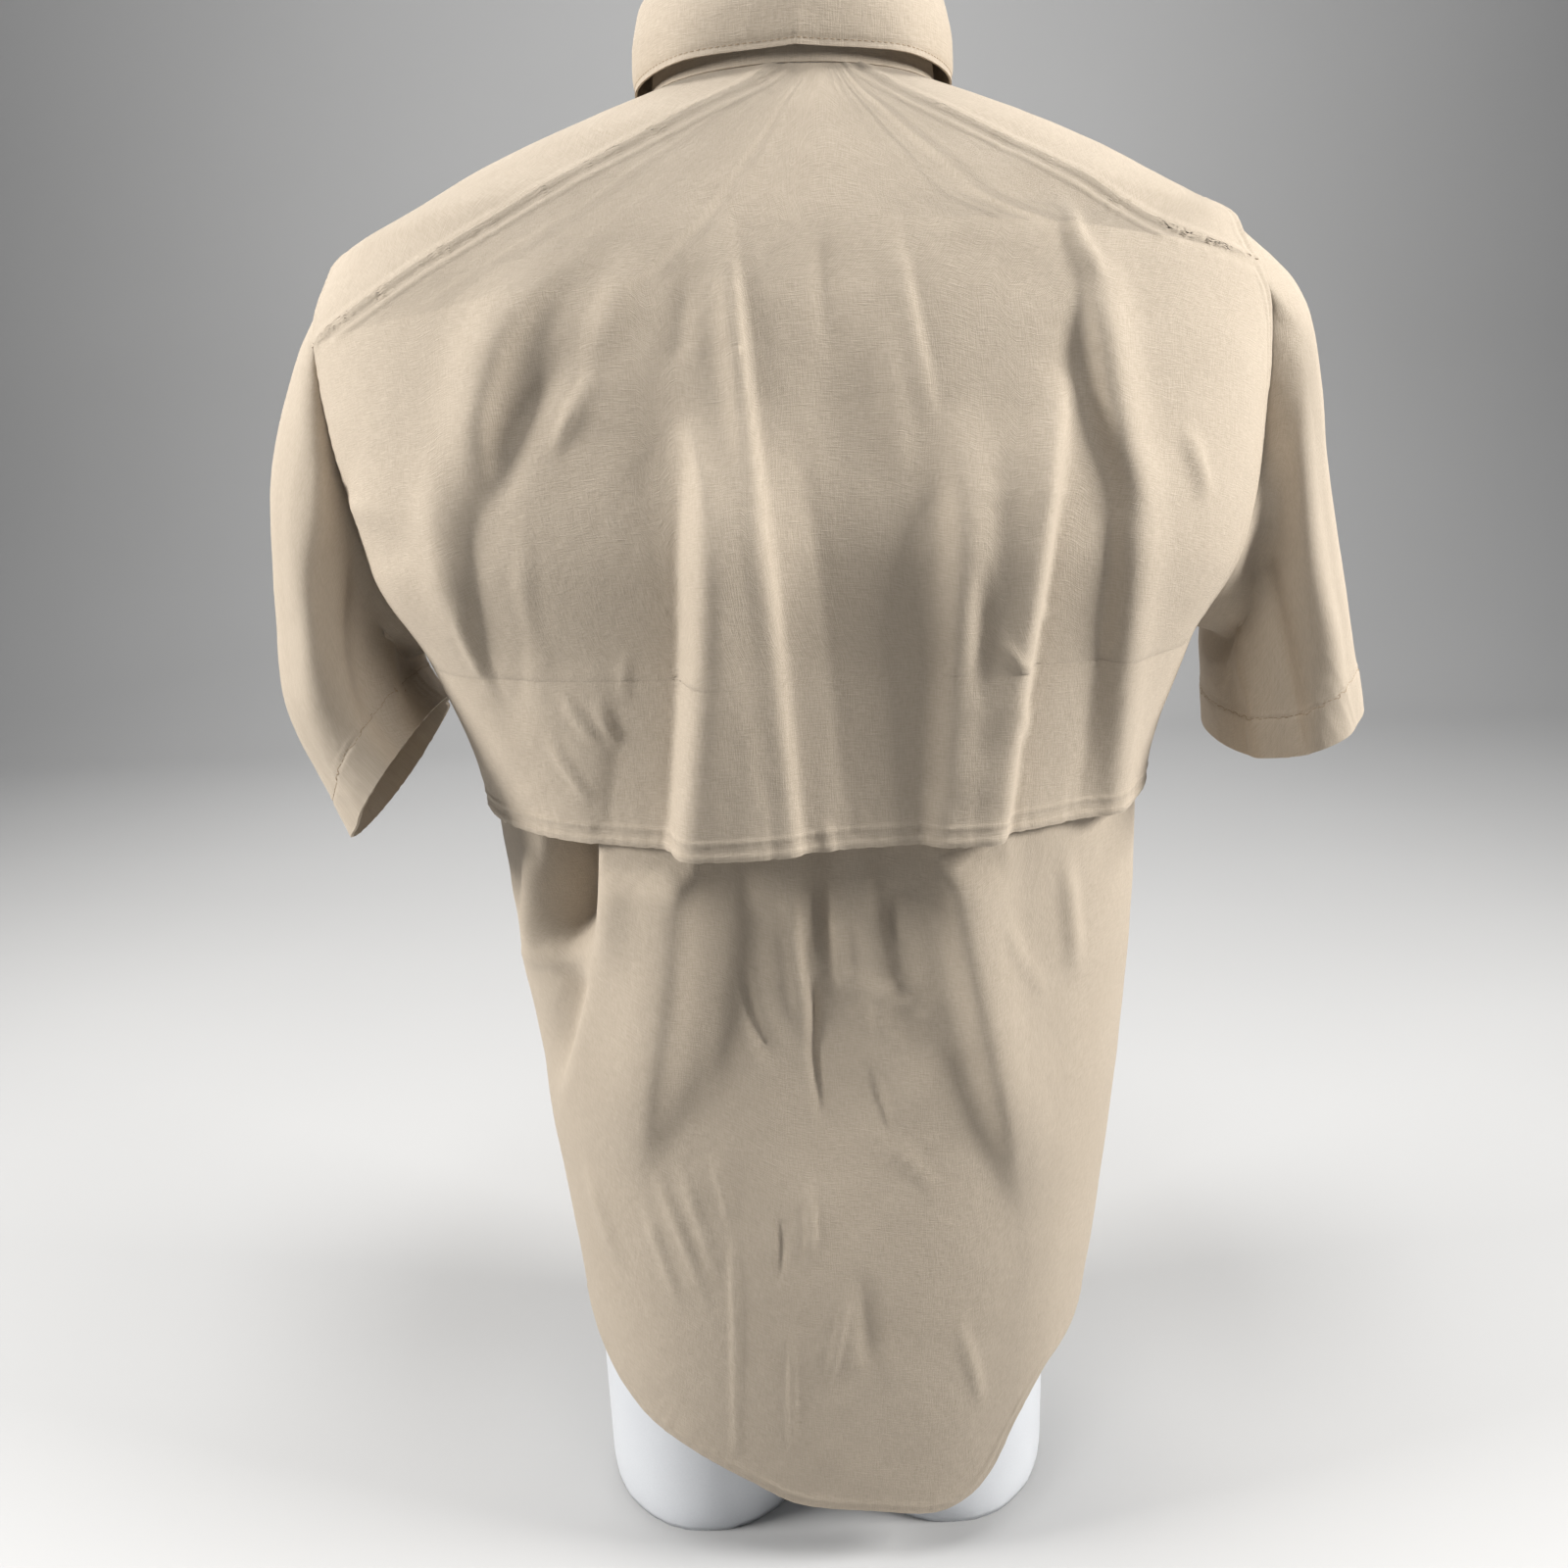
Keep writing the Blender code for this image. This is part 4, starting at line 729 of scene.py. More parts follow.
class ShirtSkin:
    """The shirt's skin: its smooth body and what each panel adds to it."""

    SOFT_LENGTHS = ((0.083, 0.061, 0.0007), (0.047, 0.053, 0.0004), (0.029, 0.023, 0.00022))
    SOFT_LEAN = 0.35
    SOFT_DRIFT = 0.3
    COVERED_BELOW_HEM = (0.030, 0.010)
    CALM_FRONT = (0.030, 0.060)

    def __init__(self) -> None:
        """Set up the body and the folds of the cape, the lower back and the fronts."""
        self.body = RingBody(SHIRT_RINGS)
        self.cape_folds = FoldField(CAPE_FOLDS)
        self.cape_creases = FoldField(CAPE_CREASES)
        self.back_folds = FoldField(BACK_FOLDS)
        self.back_creases = FoldField(BACK_CREASES)
        self.front_folds = FoldField(FRONT_FOLDS + FRONT_CREASES)

    def soft(self, x: Array, z: Array, seed: float = 0.4) -> Array:
        """Return slight unevenness of hanging cloth, the same on both sides of a seam."""
        total = np.zeros_like(x)
        for index, (across, down, height) in enumerate(self.SOFT_LENGTHS):
            lean = x + self.SOFT_LEAN * z * math.sin(seed + index)
            wave = ripple(lean, across, seed + index)
            total += height * wave * ripple(z + self.SOFT_DRIFT * x, down, 2.0 * seed + index)
        return total

    def raised(self, girth: Array, level: Array, base: Array, height: Array) -> Array:
        """Move points of the smooth body out by a height."""
        return base + self.body.normal(girth, level) * height[..., None]

    def cape_spread(self, girth: Array, level: Array) -> Array:
        """Return how far the cape swings out from the lower back between its side seams."""
        free = 1.0 - ease(CAPE_FREE_LEVEL, CAPE_SEWN_LEVEL, level)
        return CAPE_SPREAD * (1.0 - np.abs(np.clip(girth, -1.0, 1.0)) ** 3) * free

    def back(self, girth: Array, level: Array) -> Array:
        """Return the lower back, whose ridges stay under the cape where it hides them."""
        base = self.body.point(girth, level)
        x, z = base[..., 0], base[..., 2]
        height = self.back_folds.height(x, z) + self.back_creases.height(x, z) + self.soft(x, z)
        room = CAPE_SINK_SHARE * self.cape_spread(girth, level)
        low, high = (CAPE_HEM_LEVEL - below for below in self.COVERED_BELOW_HEM)
        covered = ease(low, high, level)
        height = height - covered * np.maximum(height - room, 0.0)
        return self.raised(girth, level, base, height)

    def cape(self, girth: Array, level: Array) -> Array:
        """Return the cape, which hangs free below and is sewn to the armholes above."""
        base = self.body.point(girth, level)
        x, z = base[..., 0], base[..., 2]
        spread = self.cape_spread(girth, level)
        free = 1.0 - ease(CAPE_FREE_LEVEL, CAPE_SEWN_LEVEL, level)
        height = self.cape_folds.height(x, z) + self.cape_creases.height(x, z) + self.soft(x, z)
        height = height + free * np.maximum(-CAPE_SINK_SHARE * spread - height, 0.0)
        return self.raised(girth, level, base, height + CAPE_LIFT * free + spread)

    def placket(self, girth: Array, level: Array) -> Array:
        """Return the placket, which lies on the fronts."""
        return self.front(girth, level, PLACKET_LIFT)

    def front(self, girth: Array, level: Array, lift: float = 0.0) -> Array:
        """Return the fronts, or with a lift what lies on them."""
        base = self.body.point(girth, level)
        x, z = base[..., 0], base[..., 2]
        ahead = np.abs((girth + 2.0) % 4.0 - 2.0) > 1.0
        share = np.where(ahead, ease(*self.CALM_FRONT, np.abs(x)), 1.0)
        height = self.front_folds.height(x, z) * ahead + share * self.soft(x, z)
        return self.raised(girth, level, base, height + lift)

    def front_offset(self, x: Array | float, level: Array) -> Array:
        """Return the girth between the centre front and a place x metres beside it."""
        level = np.asarray(level, float)
        size = self.body.sizes(level)
        whole = np.ones_like(level)
        return x / self.body.quarter(whole, size["half_width"], size["y_front"], size["squareness"])[2]


class Pattern:
    """The pattern's edges as places of girth and level, at the fineness of the cloth grids."""

    def __init__(self, skin: ShirtSkin) -> None:
        """Keep the skin that the pattern is laid on."""
        self.skin = skin

    def hem_level(self, girth: Array | float) -> Array:
        """Return the level of the shirt-tail hem."""
        return table_curve(HEM_EDGE, "girth", "level", np.asarray(girth, float))

    def side_levels(self, start: float, detail: int) -> Array:
        """Return the levels of a vertical edge from its hem to the underarm."""
        skirt = np.linspace(start, CAPE_HEM_LEVEL, SKIRT_ROWS * detail + 1)
        waist = np.linspace(CAPE_HEM_LEVEL, UNDERARM_LEVEL, WAIST_ROWS * detail + 1)
        return np.concatenate([skirt, waist[1:]])

    def armhole(self, turn: Array | float, side: Side) -> Array:
        """Return left-hand places on an armhole, turn in degrees from its top down the back."""
        turn = np.asarray(turn, float) % 360.0
        middle = (UNDERARM_LEVEL + SHOULDER_LEVEL) / 2.0
        half = (SHOULDER_LEVEL - UNDERARM_LEVEL) / 2.0
        back_name = "back_left" if side is Side.LEFT else "back_right"
        back = table_curve(ARMHOLE_REACH, "turn", back_name, turn)
        front = table_curve(ARMHOLE_REACH, "turn", "front", 360.0 - turn)
        reach = np.where(turn <= 180.0, -back, front)
        return paired(1.0 + reach, middle + half * np.cos(np.radians(turn)))

    def armhole_run(self, start: float, end: float, side: Side, detail: int) -> Array:
        """Return the armhole's places between two turns."""
        steps = round(abs(end - start) / ARMHOLE_STEP) * detail
        return self.armhole(np.linspace(start, end, steps + 1), side)

    def shoulder_seam(self, side: Side, detail: int) -> Array:
        """Return left-hand places along a shoulder seam, from the neckline to the armhole."""
        end = EdgePlace(*self.armhole(SEAM_END_TURN[side], side))
        rows = SHOULDER_SEAM[side] + (end,)
        girths = np.linspace(rows[0].girth, end.girth, SEAM_STEPS[side] * detail + 1)
        return paired(girths, table_curve(rows, "girth", "level", girths))

    def neckline(self, side: Side, detail: int) -> Array:
        """Return the girths of one side's neckline, from the centre front edge to the shoulder seam."""
        start = 2.0 - side.value * self.skin.front_offset(FRONT_EDGE_X, NECK_LEVEL)
        return np.linspace(start, SHOULDER_SEAM[side][0].girth, NECKLINE_STEPS[side] * detail + 1)

    def centre_front_levels(self, detail: int) -> Array:
        """Return the levels of the centre front edge, from the hem to the neckline."""
        chest = np.linspace(UNDERARM_LEVEL, NECK_LEVEL, CHEST_ROWS * detail + 1)
        return np.concatenate([self.side_levels(float(self.hem_level(2.0)), detail), chest[1:]])

    def evened(self, places: Array) -> Array:
        """Return as many places along the same edge, at even distances over the cloth."""
        points = self.skin.body.point(places[:, 0], places[:, 1])
        travelled = travel(points)
        return read_line(np.linspace(0.0, travelled[-1], len(places)), travelled, places)

    @staticmethod
    def hem_share(edge: Array) -> Array:
        """Return how much each row of a piece bends like its hem, from the places up its edge."""
        rise = edge[:, 1] - edge[0, 1]
        return 1.0 - np.clip(rise / (HEM_EASE_LEVEL - edge[0, 1]), 0.0, 1.0)

    @staticmethod
    def fill(near: Array, far: Array, first: Array, last: Array, shares: tuple[Array, Array]) -> Array:
        """Fill four edges with rows of places.

        Args:
            near: Places along the first column.
            far: Places along the last column.
            first: Places along the first row.
            last: Places along the last row.
            shares: How much each row bends like the first row and like the last one.

        Returns:
            The grid of places.
        """
        across = np.linspace(0.0, 1.0, len(first))[None, :, None]
        grid = near[:, None] * (1.0 - across) + far[:, None] * across
        for edge, share in zip((first, last), shares):
            straight = edge[0] * (1.0 - across) + edge[-1] * across
            grid = grid + np.asarray(share)[:, None, None] * (edge[None] - straight)
        return grid


@dataclass
class Seam:
    """How one edge of a piece is sewn: its stitch lines and the puckers that they make."""

    edge: Edge
    stitch_lines: tuple[float, ...] = ()
    pucker: float = 0.0
    pucker_length: float = 0.011
    reach: float = 0.010
    hem_width: float = 0.0
    sink: float = 0.0
    roll: float = 0.0


SEWING = {
    "felled": dict(
        stitch_lines=(0.0018, 0.0078), pucker=0.0010, pucker_length=0.0095, sink=0.0006, roll=0.0009
    ),
    "plain": dict(stitch_lines=(0.0018,), pucker=0.0005, pucker_length=0.012, sink=0.0005, roll=0.0007),
    "set_in": dict(pucker=0.0012, pucker_length=0.0095, roll=0.0009),
    "tail": dict(stitch_lines=(0.0060,), pucker=0.0007, hem_width=0.0075, reach=0.012, sink=0.0006),
    "cape": dict(stitch_lines=(0.0026, 0.0105), pucker=0.0013, hem_width=0.012, reach=0.014, sink=0.0006),
    "cuff": dict(stitch_lines=(0.0225,), pucker=0.0009, hem_width=0.024, reach=0.026, sink=0.0007),
    "edging": dict(stitch_lines=(0.0028,), pucker=0.00025, sink=0.0004),
}


@dataclass
class ClothGrid:
    """The outer points of one cloth piece, in rows from its first edge to its last."""

    points: Array
    closed: bool = False
    flip: bool = False

    def normals(self) -> Array:
        """Return the grid's outward unit normals."""
        if self.closed:
            along = np.roll(self.points, -1, axis=1) - np.roll(self.points, 1, axis=1)
        else:
            along = np.gradient(self.points, axis=1)
        normal = unit(np.cross(np.gradient(self.points, axis=0), along))
        return -normal if self.flip else normal

    def lengths(self, axis: int) -> Array:
        """Return each point's distance along the grid lines of one axis."""
        steps = np.linalg.norm(np.diff(self.points, axis=axis), axis=-1)
        total = np.cumsum(steps, axis=axis)
        start = np.zeros_like(np.take(total, [0], axis=axis))
        return np.concatenate([start, total], axis=axis)

    def edge_line(self, edge: Edge) -> tuple[Array, Array]:
        """Return an edge's points and its unit directions into the cloth."""
        axis, index = edge.value
        beside = 1 if index == 0 else -2
        line = np.take(self.points, index, axis=axis)
        inner = np.take(self.points, beside, axis=axis)
        along = unit(np.gradient(line, axis=0))
        step = inner - line
        step = step - along * np.sum(step * along, axis=-1, keepdims=True)
        return line, unit(step)

    def edge_field(self, edge: Edge) -> tuple[Array, Array]:
        """Return every point's distance to an edge and how far along the edge it lies."""
        line, _ = self.edge_line(edge)
        if self.closed:
            line = np.concatenate([line, line[:1]])
        dense = refined(line, 4 * (len(line) - 1))
        travelled = travel(dense)
        tree = KDTree(len(dense))
        for index, point in enumerate(dense):
            tree.insert(point, index)
        tree.balance()
        found = [tree.find(point)[1:] for point in self.points.reshape(-1, 3)]
        shape = self.points.shape[:2]
        arc = travelled[[index for index, _ in found]].reshape(shape)
        return np.array([distance for _, distance in found]).reshape(shape), arc

    def graded(self, axis: int, first: float, last: float) -> "ClothGrid":
        """Draw the grid's lines closer together towards its sewn edges.

        Args:
            axis: 0 for the rows, 1 for the columns.
            first: How far from the first line they are drawn in, 0 for not at all.
            last: The same from the last line.

        Returns:
            The grid with as many lines, on the same surface.
        """
        points = np.moveaxis(self.points, axis, 0)
        count = len(points)
        at = np.arange(count, dtype=float)
        spacing = float(np.linalg.norm(np.diff(points, axis=0), axis=-1).mean())
        density = np.ones(count)
        for reach, gap in ((first, at), (last, count - 1 - at)):
            if reach > 0.0:
                density += SEAM_DENSITY * np.exp(-((gap * spacing / (SEAM_SPREAD * reach)) ** 2))
        travelled = np.concatenate([[0.0], np.cumsum((density[1:] + density[:-1]) / 2.0)])
        place = np.interp(np.linspace(0.0, travelled[-1], count), travelled, at)
        index = np.minimum(place.astype(int), count - 2)
        t = (place - index)[:, None, None]
        before, here = points[np.maximum(index - 1, 0)], points[index]
        ahead, after = points[index + 1], points[np.minimum(index + 2, count - 1)]
        square = 2.0 * before - 5.0 * here + 4.0 * ahead - after
        cube = 3.0 * (here - ahead) + after - before
        bend = square * t + cube * t * t
        drawn = here + 0.5 * t * (ahead - before + bend)
        return replace(self, points=np.moveaxis(drawn, 0, axis))

    def area(self) -> float:
        """Return the area of the outer side."""
        points = np.concatenate([self.points, self.points[:, :1]], axis=1) if self.closed else self.points
        first = points[1:, 1:] - points[:-1, :-1]
        second = points[1:, :-1] - points[:-1, 1:]
        return float(np.linalg.norm(np.cross(first, second), axis=-1).sum() / 2.0)


def grid_faces(rows: int, columns: int, start: int, closed: bool) -> Array:
    """Return the four corners of each cell of a grid of vertices that begins at start."""
    width = columns if closed else columns - 1
    row, column = np.meshgrid(np.arange(rows - 1), np.arange(width), indexing="ij")
    after = (column + 1) % columns
    low, high = row * columns, (row + 1) * columns
    corners = (low + column, low + after, high + after, high + column)
    return start + np.stack(corners, axis=-1).reshape(-1, 4)


def linked(name: str, data: bpy.types.ID) -> bpy.types.Object:
    """Return a new object with its data, linked to the scene."""
    item = bpy.data.objects.new(name, data)
    bpy.context.scene.collection.objects.link(item)
    return item


def show(mesh: bpy.types.Mesh, name: str, material: bpy.types.Material) -> bpy.types.Object:
    """Link a mesh as an object with its material, shaded smooth."""
    mesh.materials.append(material)
    mesh.shade_smooth()
    return linked(name, mesh)


def to_mesh(shape: bmesh.types.BMesh, name: str) -> bpy.types.Mesh:
    """Turn an edited shape into a mesh and let the shape go."""
    mesh = bpy.data.meshes.new(name)
    shape.to_mesh(mesh)
    shape.free()
    return mesh


def apply_modifiers(item: bpy.types.Object) -> bpy.types.Mesh:
    """Give an object the mesh that its modifiers make, and return that mesh."""
    bpy.context.view_layer.update()
    mesh = bpy.data.meshes.new_from_object(item.evaluated_get(bpy.context.evaluated_depsgraph_get()))
    item.modifiers.clear()
    item.data = mesh
    return mesh


class ClothPiece:
    """One sewn piece of cloth: it puckers a grid, thickens it to a closed shell and stitches it."""

    def __init__(self, name: str, node: str, grid: ClothGrid, seams: Sequence[Seam], seed: float) -> None:
        """Take the grid and pucker it along its seams."""
        self.name, self.node, self.seams, self.seed = name, node, seams, seed
        reach = {seam.edge: seam.reach for seam in seams if seam.stitch_lines}
        grid = grid.graded(0, reach.get(Edge.FIRST, 0.0), reach.get(Edge.LAST, 0.0))
        if not grid.closed:
            grid = grid.graded(1, reach.get(Edge.NEAR, 0.0), reach.get(Edge.FAR, 0.0))
        self.grid = grid
        self.hem = np.zeros(grid.points.shape[:2])
        self.pucker()

    def pucker(self) -> None:
        """Gather the cloth along its stitch lines and lift its hem bands a little."""
        height = np.zeros(self.grid.points.shape[:2])
        for index, seam in enumerate(self.seams):
            distance, arc = self.grid.edge_field(seam.edge)
            wave = ripple(arc, seam.pucker_length, self.seed + index)
            slow = 0.5 + 0.5 * ripple(arc, SLOW_PUCKERS * seam.pucker_length, self.seed + 3.0 * index)
            rise = distance / (distance + PUCKER_START)
            depth = seam.pucker * (STEADY_SHARE + VARIED_SHARE * slow)
            height += depth * wave * rise * np.exp(-distance / seam.reach)
            for line in seam.stitch_lines:
                height -= seam.sink * np.exp(-(((distance - line) / STITCH_GROOVE) ** 2))
            height -= seam.roll * np.exp(-((distance / ROLL_WIDTH) ** 2))
            if seam.hem_width > 0.0:
                edge = ease(seam.hem_width + HEM_STEP_WIDTH, seam.hem_width, distance)
                self.hem = np.maximum(self.hem, edge)
        height += HEM_RISE * self.hem
        self.grid.points = self.grid.points + self.grid.normals() * height[..., None]

    def build(self, material: bpy.types.Material) -> bpy.types.Object:
        """Build the closed shell of the piece.

        Args:
            material: The finish of the cloth.

        Returns:
            The piece, riding on the part's body in place of its CAD node.
        """
        grid = self.grid
        rows, columns = grid.points.shape[:2]
        depth = CLOTH_THICKNESS + (HEM_THICKNESS - CLOTH_THICKNESS) * self.hem
        inner = grid.points - grid.normals() * depth[..., None]
        count = rows * columns
        verts = np.concatenate([grid.points.reshape(-1, 3), inner.reshape(-1, 3)]) + FRAME_SHIFT
        outside = grid_faces(rows, columns, 0, grid.closed)
        inside = grid_faces(rows, columns, count, grid.closed)[:, ::-1]
        index = np.arange(count).reshape(rows, columns)
        rims = [(index[0], False), (index[-1], True)]
        if not grid.closed:
            rims += [(index[:, 0], True), (index[:, -1], False)]
        sides = []
        for rim, reverse in rims:
            ahead = np.roll(rim, -1) if grid.closed else rim[1:]
            here = rim if grid.closed else rim[:-1]
            quad = np.stack([here, here + count, ahead + count, ahead], axis=-1)
            sides.append(quad[:, ::-1] if reverse else quad)
        faces = np.concatenate([outside, inside, *sides])
        if not grid.flip:
            faces = faces[:, ::-1]
        mesh = bpy.data.meshes.new(self.name)
        mesh.from_pydata(verts.tolist(), [], faces.tolist())
        self.lay_threads(mesh)
        item = show(mesh, self.name, material)
        mesh.set_sharp_from_angle(angle=math.radians(CLOTH_SHARP_ANGLE))
        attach(item, ROOT)
        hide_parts(self.node)
        width = float(grid.lengths(1)[:, -1].max())
        length = float(grid.lengths(0)[-1].max())
        area = min(grid.area(), width * length)
        log.info("%s: %.3f x %.3f m, %.3f m2", self.name, width, length, area)
        return item

    def lay_threads(self, mesh: bpy.types.Mesh) -> None:
        """Give the mesh its map along the threads, in metres."""
        across = self.grid.lengths(1)
        across = across - across[:, across.shape[1] // 2][:, None]
        down = self.grid.lengths(0)
        plan = np.stack([across.reshape(-1), down.reshape(-1)], axis=-1)
        plan = np.concatenate([plan, plan])
        layer = mesh.uv_layers.new(name="threads")
        corner = np.zeros(len(mesh.loops), np.int32)
        mesh.loops.foreach_get("vertex_index", corner)
        layer.data.foreach_set("uv", plan[corner].astype(np.float32).ravel())

    def stitch(self, thread: "Thread") -> None:
        """Sew the piece's stitch lines."""
        verts = [Vector(point) for point in self.grid.points.reshape(-1, 3)]
        rows, columns = self.grid.points.shape[:2]
        faces = grid_faces(rows, columns, 0, self.grid.closed)
        tree = BVHTree.FromPolygons(verts, [tuple(int(i) for i in face) for face in faces])
        for seam in self.seams:
            line, inward = self.grid.edge_line(seam.edge)
            for distance in seam.stitch_lines:
                thread.sew(line + inward * distance, tree, self.grid)


@dataclass
class Thread:
    """Sewing thread: every stitch is one small rounded capsule that lies on the cloth."""

    length: float = 0.0026
    gap: float = 0.0007
    radius: float = 0.00020
    lift: float = 0.00006
    sides: int = 5
    runs: list[tuple[Array, Array, Array]] = field(default_factory=list)

    PROFILE = ((-0.50, 0.35, -1.2), (-0.30, 1.0, 0.0), (0.30, 1.0, 0.0), (0.50, 0.35, -1.2))

    def sew(self, line: Array, tree: BVHTree, grid: ClothGrid) -> None:
        """Sew one line of stitches along the cloth.

        Args:
            line: Points along the stitch line, near the cloth.
            tree: The cloth's outer side.
            grid: The cloth's grid, which gives the outward direction.
        """
        travelled = travel(line)
        pitch = self.length + self.gap
        at = np.arange(pitch, travelled[-1] - pitch, pitch)
        spots = read_line(at, travelled, line)
        sign = 1.0 if grid.flip else -1.0
        found = [tree.find_nearest(Vector(spot))[:2] for spot in spots]
        placed = np.array([tuple(hit) for hit, _ in found])
        facing = np.array([tuple(normal) for _, normal in found]) * sign
        along = unit(np.gradient(placed, axis=0))
        self.add(placed, along, facing)

    def add(self, places: Array, along: Array, facing: Array) -> None:
        """Add stitches at places, lying along a direction and facing out of the cloth."""
        self.runs.append((places, along, facing))

    def build(self, name: str, material: bpy.types.Material) -> bpy.types.Object:
        """Build all stitches as one piece that rides with the shirt."""
        places, along, facing = (np.concatenate(parts) for parts in zip(*self.runs))
        aside = unit(np.cross(facing, along))
        rings = []
        for share, size, sink in self.PROFILE:
            centre = places + along * (share * self.length) + facing * (self.lift + sink * self.radius)
            for turn in np.arange(self.sides) * 2.0 * math.pi / self.sides:
                round_turn = aside * math.cos(turn) + facing * math.sin(turn)
                rings.append(centre + round_turn * (size * self.radius))
        verts = np.stack(rings, axis=1) + FRAME_SHIFT
        pattern = grid_faces(len(self.PROFILE), self.sides, 0, closed=True)
        start = (np.arange(len(places)) * len(rings))[:, None, None]
        quads = (pattern[None] + start).reshape(-1, 4).tolist()
        last = len(rings) - self.sides
        ends = [[*range(self.sides - 1, -1, -1)], [*range(last, last + self.sides)]]
        bases = range(0, len(places) * len(rings), len(rings))
        caps = [[base + i for i in end] for base in bases for end in ends]
        mesh = bpy.data.meshes.new(name)
        mesh.from_pydata(verts.reshape(-1, 3).tolist(), [], quads + caps)
        item = show(mesh, name, material)
        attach(item, ROOT)
        log.info("%s: %d stitches", name, len(places))
        return item


class ShirtCutter:
    """Lays every cloth piece of the shirt as a fine grid on the skin."""

    def __init__(self, skin: ShirtSkin, pattern: Pattern) -> None:
        """Keep the skin and the pattern."""
        self.skin, self.pattern = skin, pattern

    def on_skin(self, read: Callable[..., Array], places: Array, edges: Sequence[Edge]) -> ClothGrid:
        """Lay places on a skin and leave a seam's gap at the named edges."""
        points = read(places[..., 0], places[..., 1])
        grid = ClothGrid(points, flip=True)
        for edge in edges:
            axis, index = edge.value
            _, inward = grid.edge_line(edge)
            if axis == 0:
                points[index] += inward * SEAM_GAP
            else:
                points[:, index] += inward * SEAM_GAP
        return grid

    def back_panel(self) -> ClothGrid:
        """Lay the lower back."""
        pattern, detail = self.pattern, ROW_DETAIL
        sides = {}
        for side in Side:
            levels = pattern.side_levels(float(pattern.hem_level(side.value)), detail)
            hole = pattern.armhole_run(180.0, BACK_TOP_TURN, side, detail)[1:]
            sides[side] = np.concatenate([paired(1.0, levels), hole]) * np.array([side.value, 1.0])
        near, far = sides[Side.RIGHT], sides[Side.LEFT]
        count = BACK_COLUMNS * COLUMN_DETAIL
        girths = np.linspace(-1.0, 1.0, count + 1)
        hem = paired(girths, pattern.hem_level(girths))
        top = near[-1] + (far[-1] - near[-1]) * np.linspace(0.0, 1.0, count + 1)[:, None]
        share = pattern.hem_share(far)
        places = pattern.fill(near, far, hem, top, (share, np.zeros_like(share)))
        return self.on_skin(self.skin.back, places, (Edge.NEAR, Edge.FAR))

    def cape(self) -> ClothGrid:
        """Lay the cape."""
        pattern, detail = self.pattern, ROW_DETAIL
        levels = np.linspace(CAPE_HEM_LEVEL, UNDERARM_LEVEL, WAIST_ROWS * detail + 1)
        seam = paired(1.0, levels)
        sides = {}
        for side in Side:
            hole = pattern.armhole_run(180.0, SEAM_END_TURN[side], side, detail)[1:]
            shoulder = pattern.shoulder_seam(side, detail)[::-1][1:]
            edge = pattern.evened(np.concatenate([seam, hole, shoulder]))
            sides[side] = edge * np.array([side.value, 1.0])
        near, far = sides[Side.RIGHT], sides[Side.LEFT]
        across = np.linspace(0.0, 1.0, BACK_COLUMNS * COLUMN_DETAIL + 1)[:, None]
        hem = near[0] + (far[0] - near[0]) * across
        plain = np.zeros(len(near))
        places = pattern.fill(near, far, hem, hem, (plain, plain))
        return self.on_skin(self.skin.cape, places, tuple(Edge))

    def front(self, side: Side) -> ClothGrid:
        """Lay one front with its shoulder extension."""
        pattern, detail = self.pattern, FRONT_DETAIL
        levels = pattern.centre_front_levels(detail)
        edge = paired(2.0 - side.value * self.skin.front_offset(FRONT_EDGE_X, levels), levels)
        near = np.concatenate([edge, paired(pattern.neckline(side, detail)[1:], NECK_LEVEL)])
        side_line = pattern.side_levels(float(pattern.hem_level(side.value)), detail)
        seam = paired(1.0, side_line)
        hole = pattern.armhole_run(180.0, 360.0 + SEAM_END_TURN[side], side, detail)[1:]
        far = np.concatenate([seam, hole])
        shoulder = pattern.shoulder_seam(side, COLUMN_DETAIL)
        girths = np.linspace(near[0, 0], 1.0, len(shoulder))
        hem = paired(girths, pattern.hem_level(side.value * girths))
        hem_share = pattern.hem_share(far)
        hem_share[len(seam) :] = 0.0
        rows = np.arange(len(far)) / detail
        seam_rows = SKIRT_ROWS + WAIST_ROWS + 1
        shoulder_share = np.clip((rows - seam_rows) / (rows[-1] - seam_rows), 0.0, 1.0) ** 2
        places = pattern.fill(near, far, hem, shoulder, (hem_share, shoulder_share))
        places = places * np.array([side.value, 1.0])
        grid = self.on_skin(self.skin.front, places, (Edge.LAST, Edge.NEAR, Edge.FAR))
        grid.flip = side is Side.RIGHT
        return grid

    def placket(self) -> ClothGrid:
        """Lay the button placket on the left front's edge."""
        levels = self.pattern.centre_front_levels(ROW_DETAIL)
        across = np.linspace(-PLACKET_HALF_WIDTH, PLACKET_HALF_WIDTH, PLACKET_COLUMNS * COLUMN_DETAIL + 1)
        girths = 2.0 - self.skin.front_offset(1.0, levels)[:, None] * across[None, :]
        grid = self.on_skin(self.skin.placket, paired(girths, levels[:, None]), (Edge.LAST,))
        grid.flip = False
        return grid

    def armhole_loop(self, side: Side) -> Array:
        """Return the sleeve's first ring, just inside the armhole and level with the cloth round it."""
        step = ARMHOLE_STEP / COLUMN_DETAIL
        turns = np.arange(0.0, 360.0, step)
        places = self.pattern.armhole(turns, side)
        girth = side.value * places[:, 0]
        behind = (turns >= SEAM_END_TURN[side]) & (turns <= 180.0)
        back, front = self.skin.cape(girth, places[:, 1]), self.skin.front(girth, places[:, 1])
        points = np.where(behind[:, None], back, front)
        return points + unit(points.mean(axis=0) - points) * SLEEVE_GAP

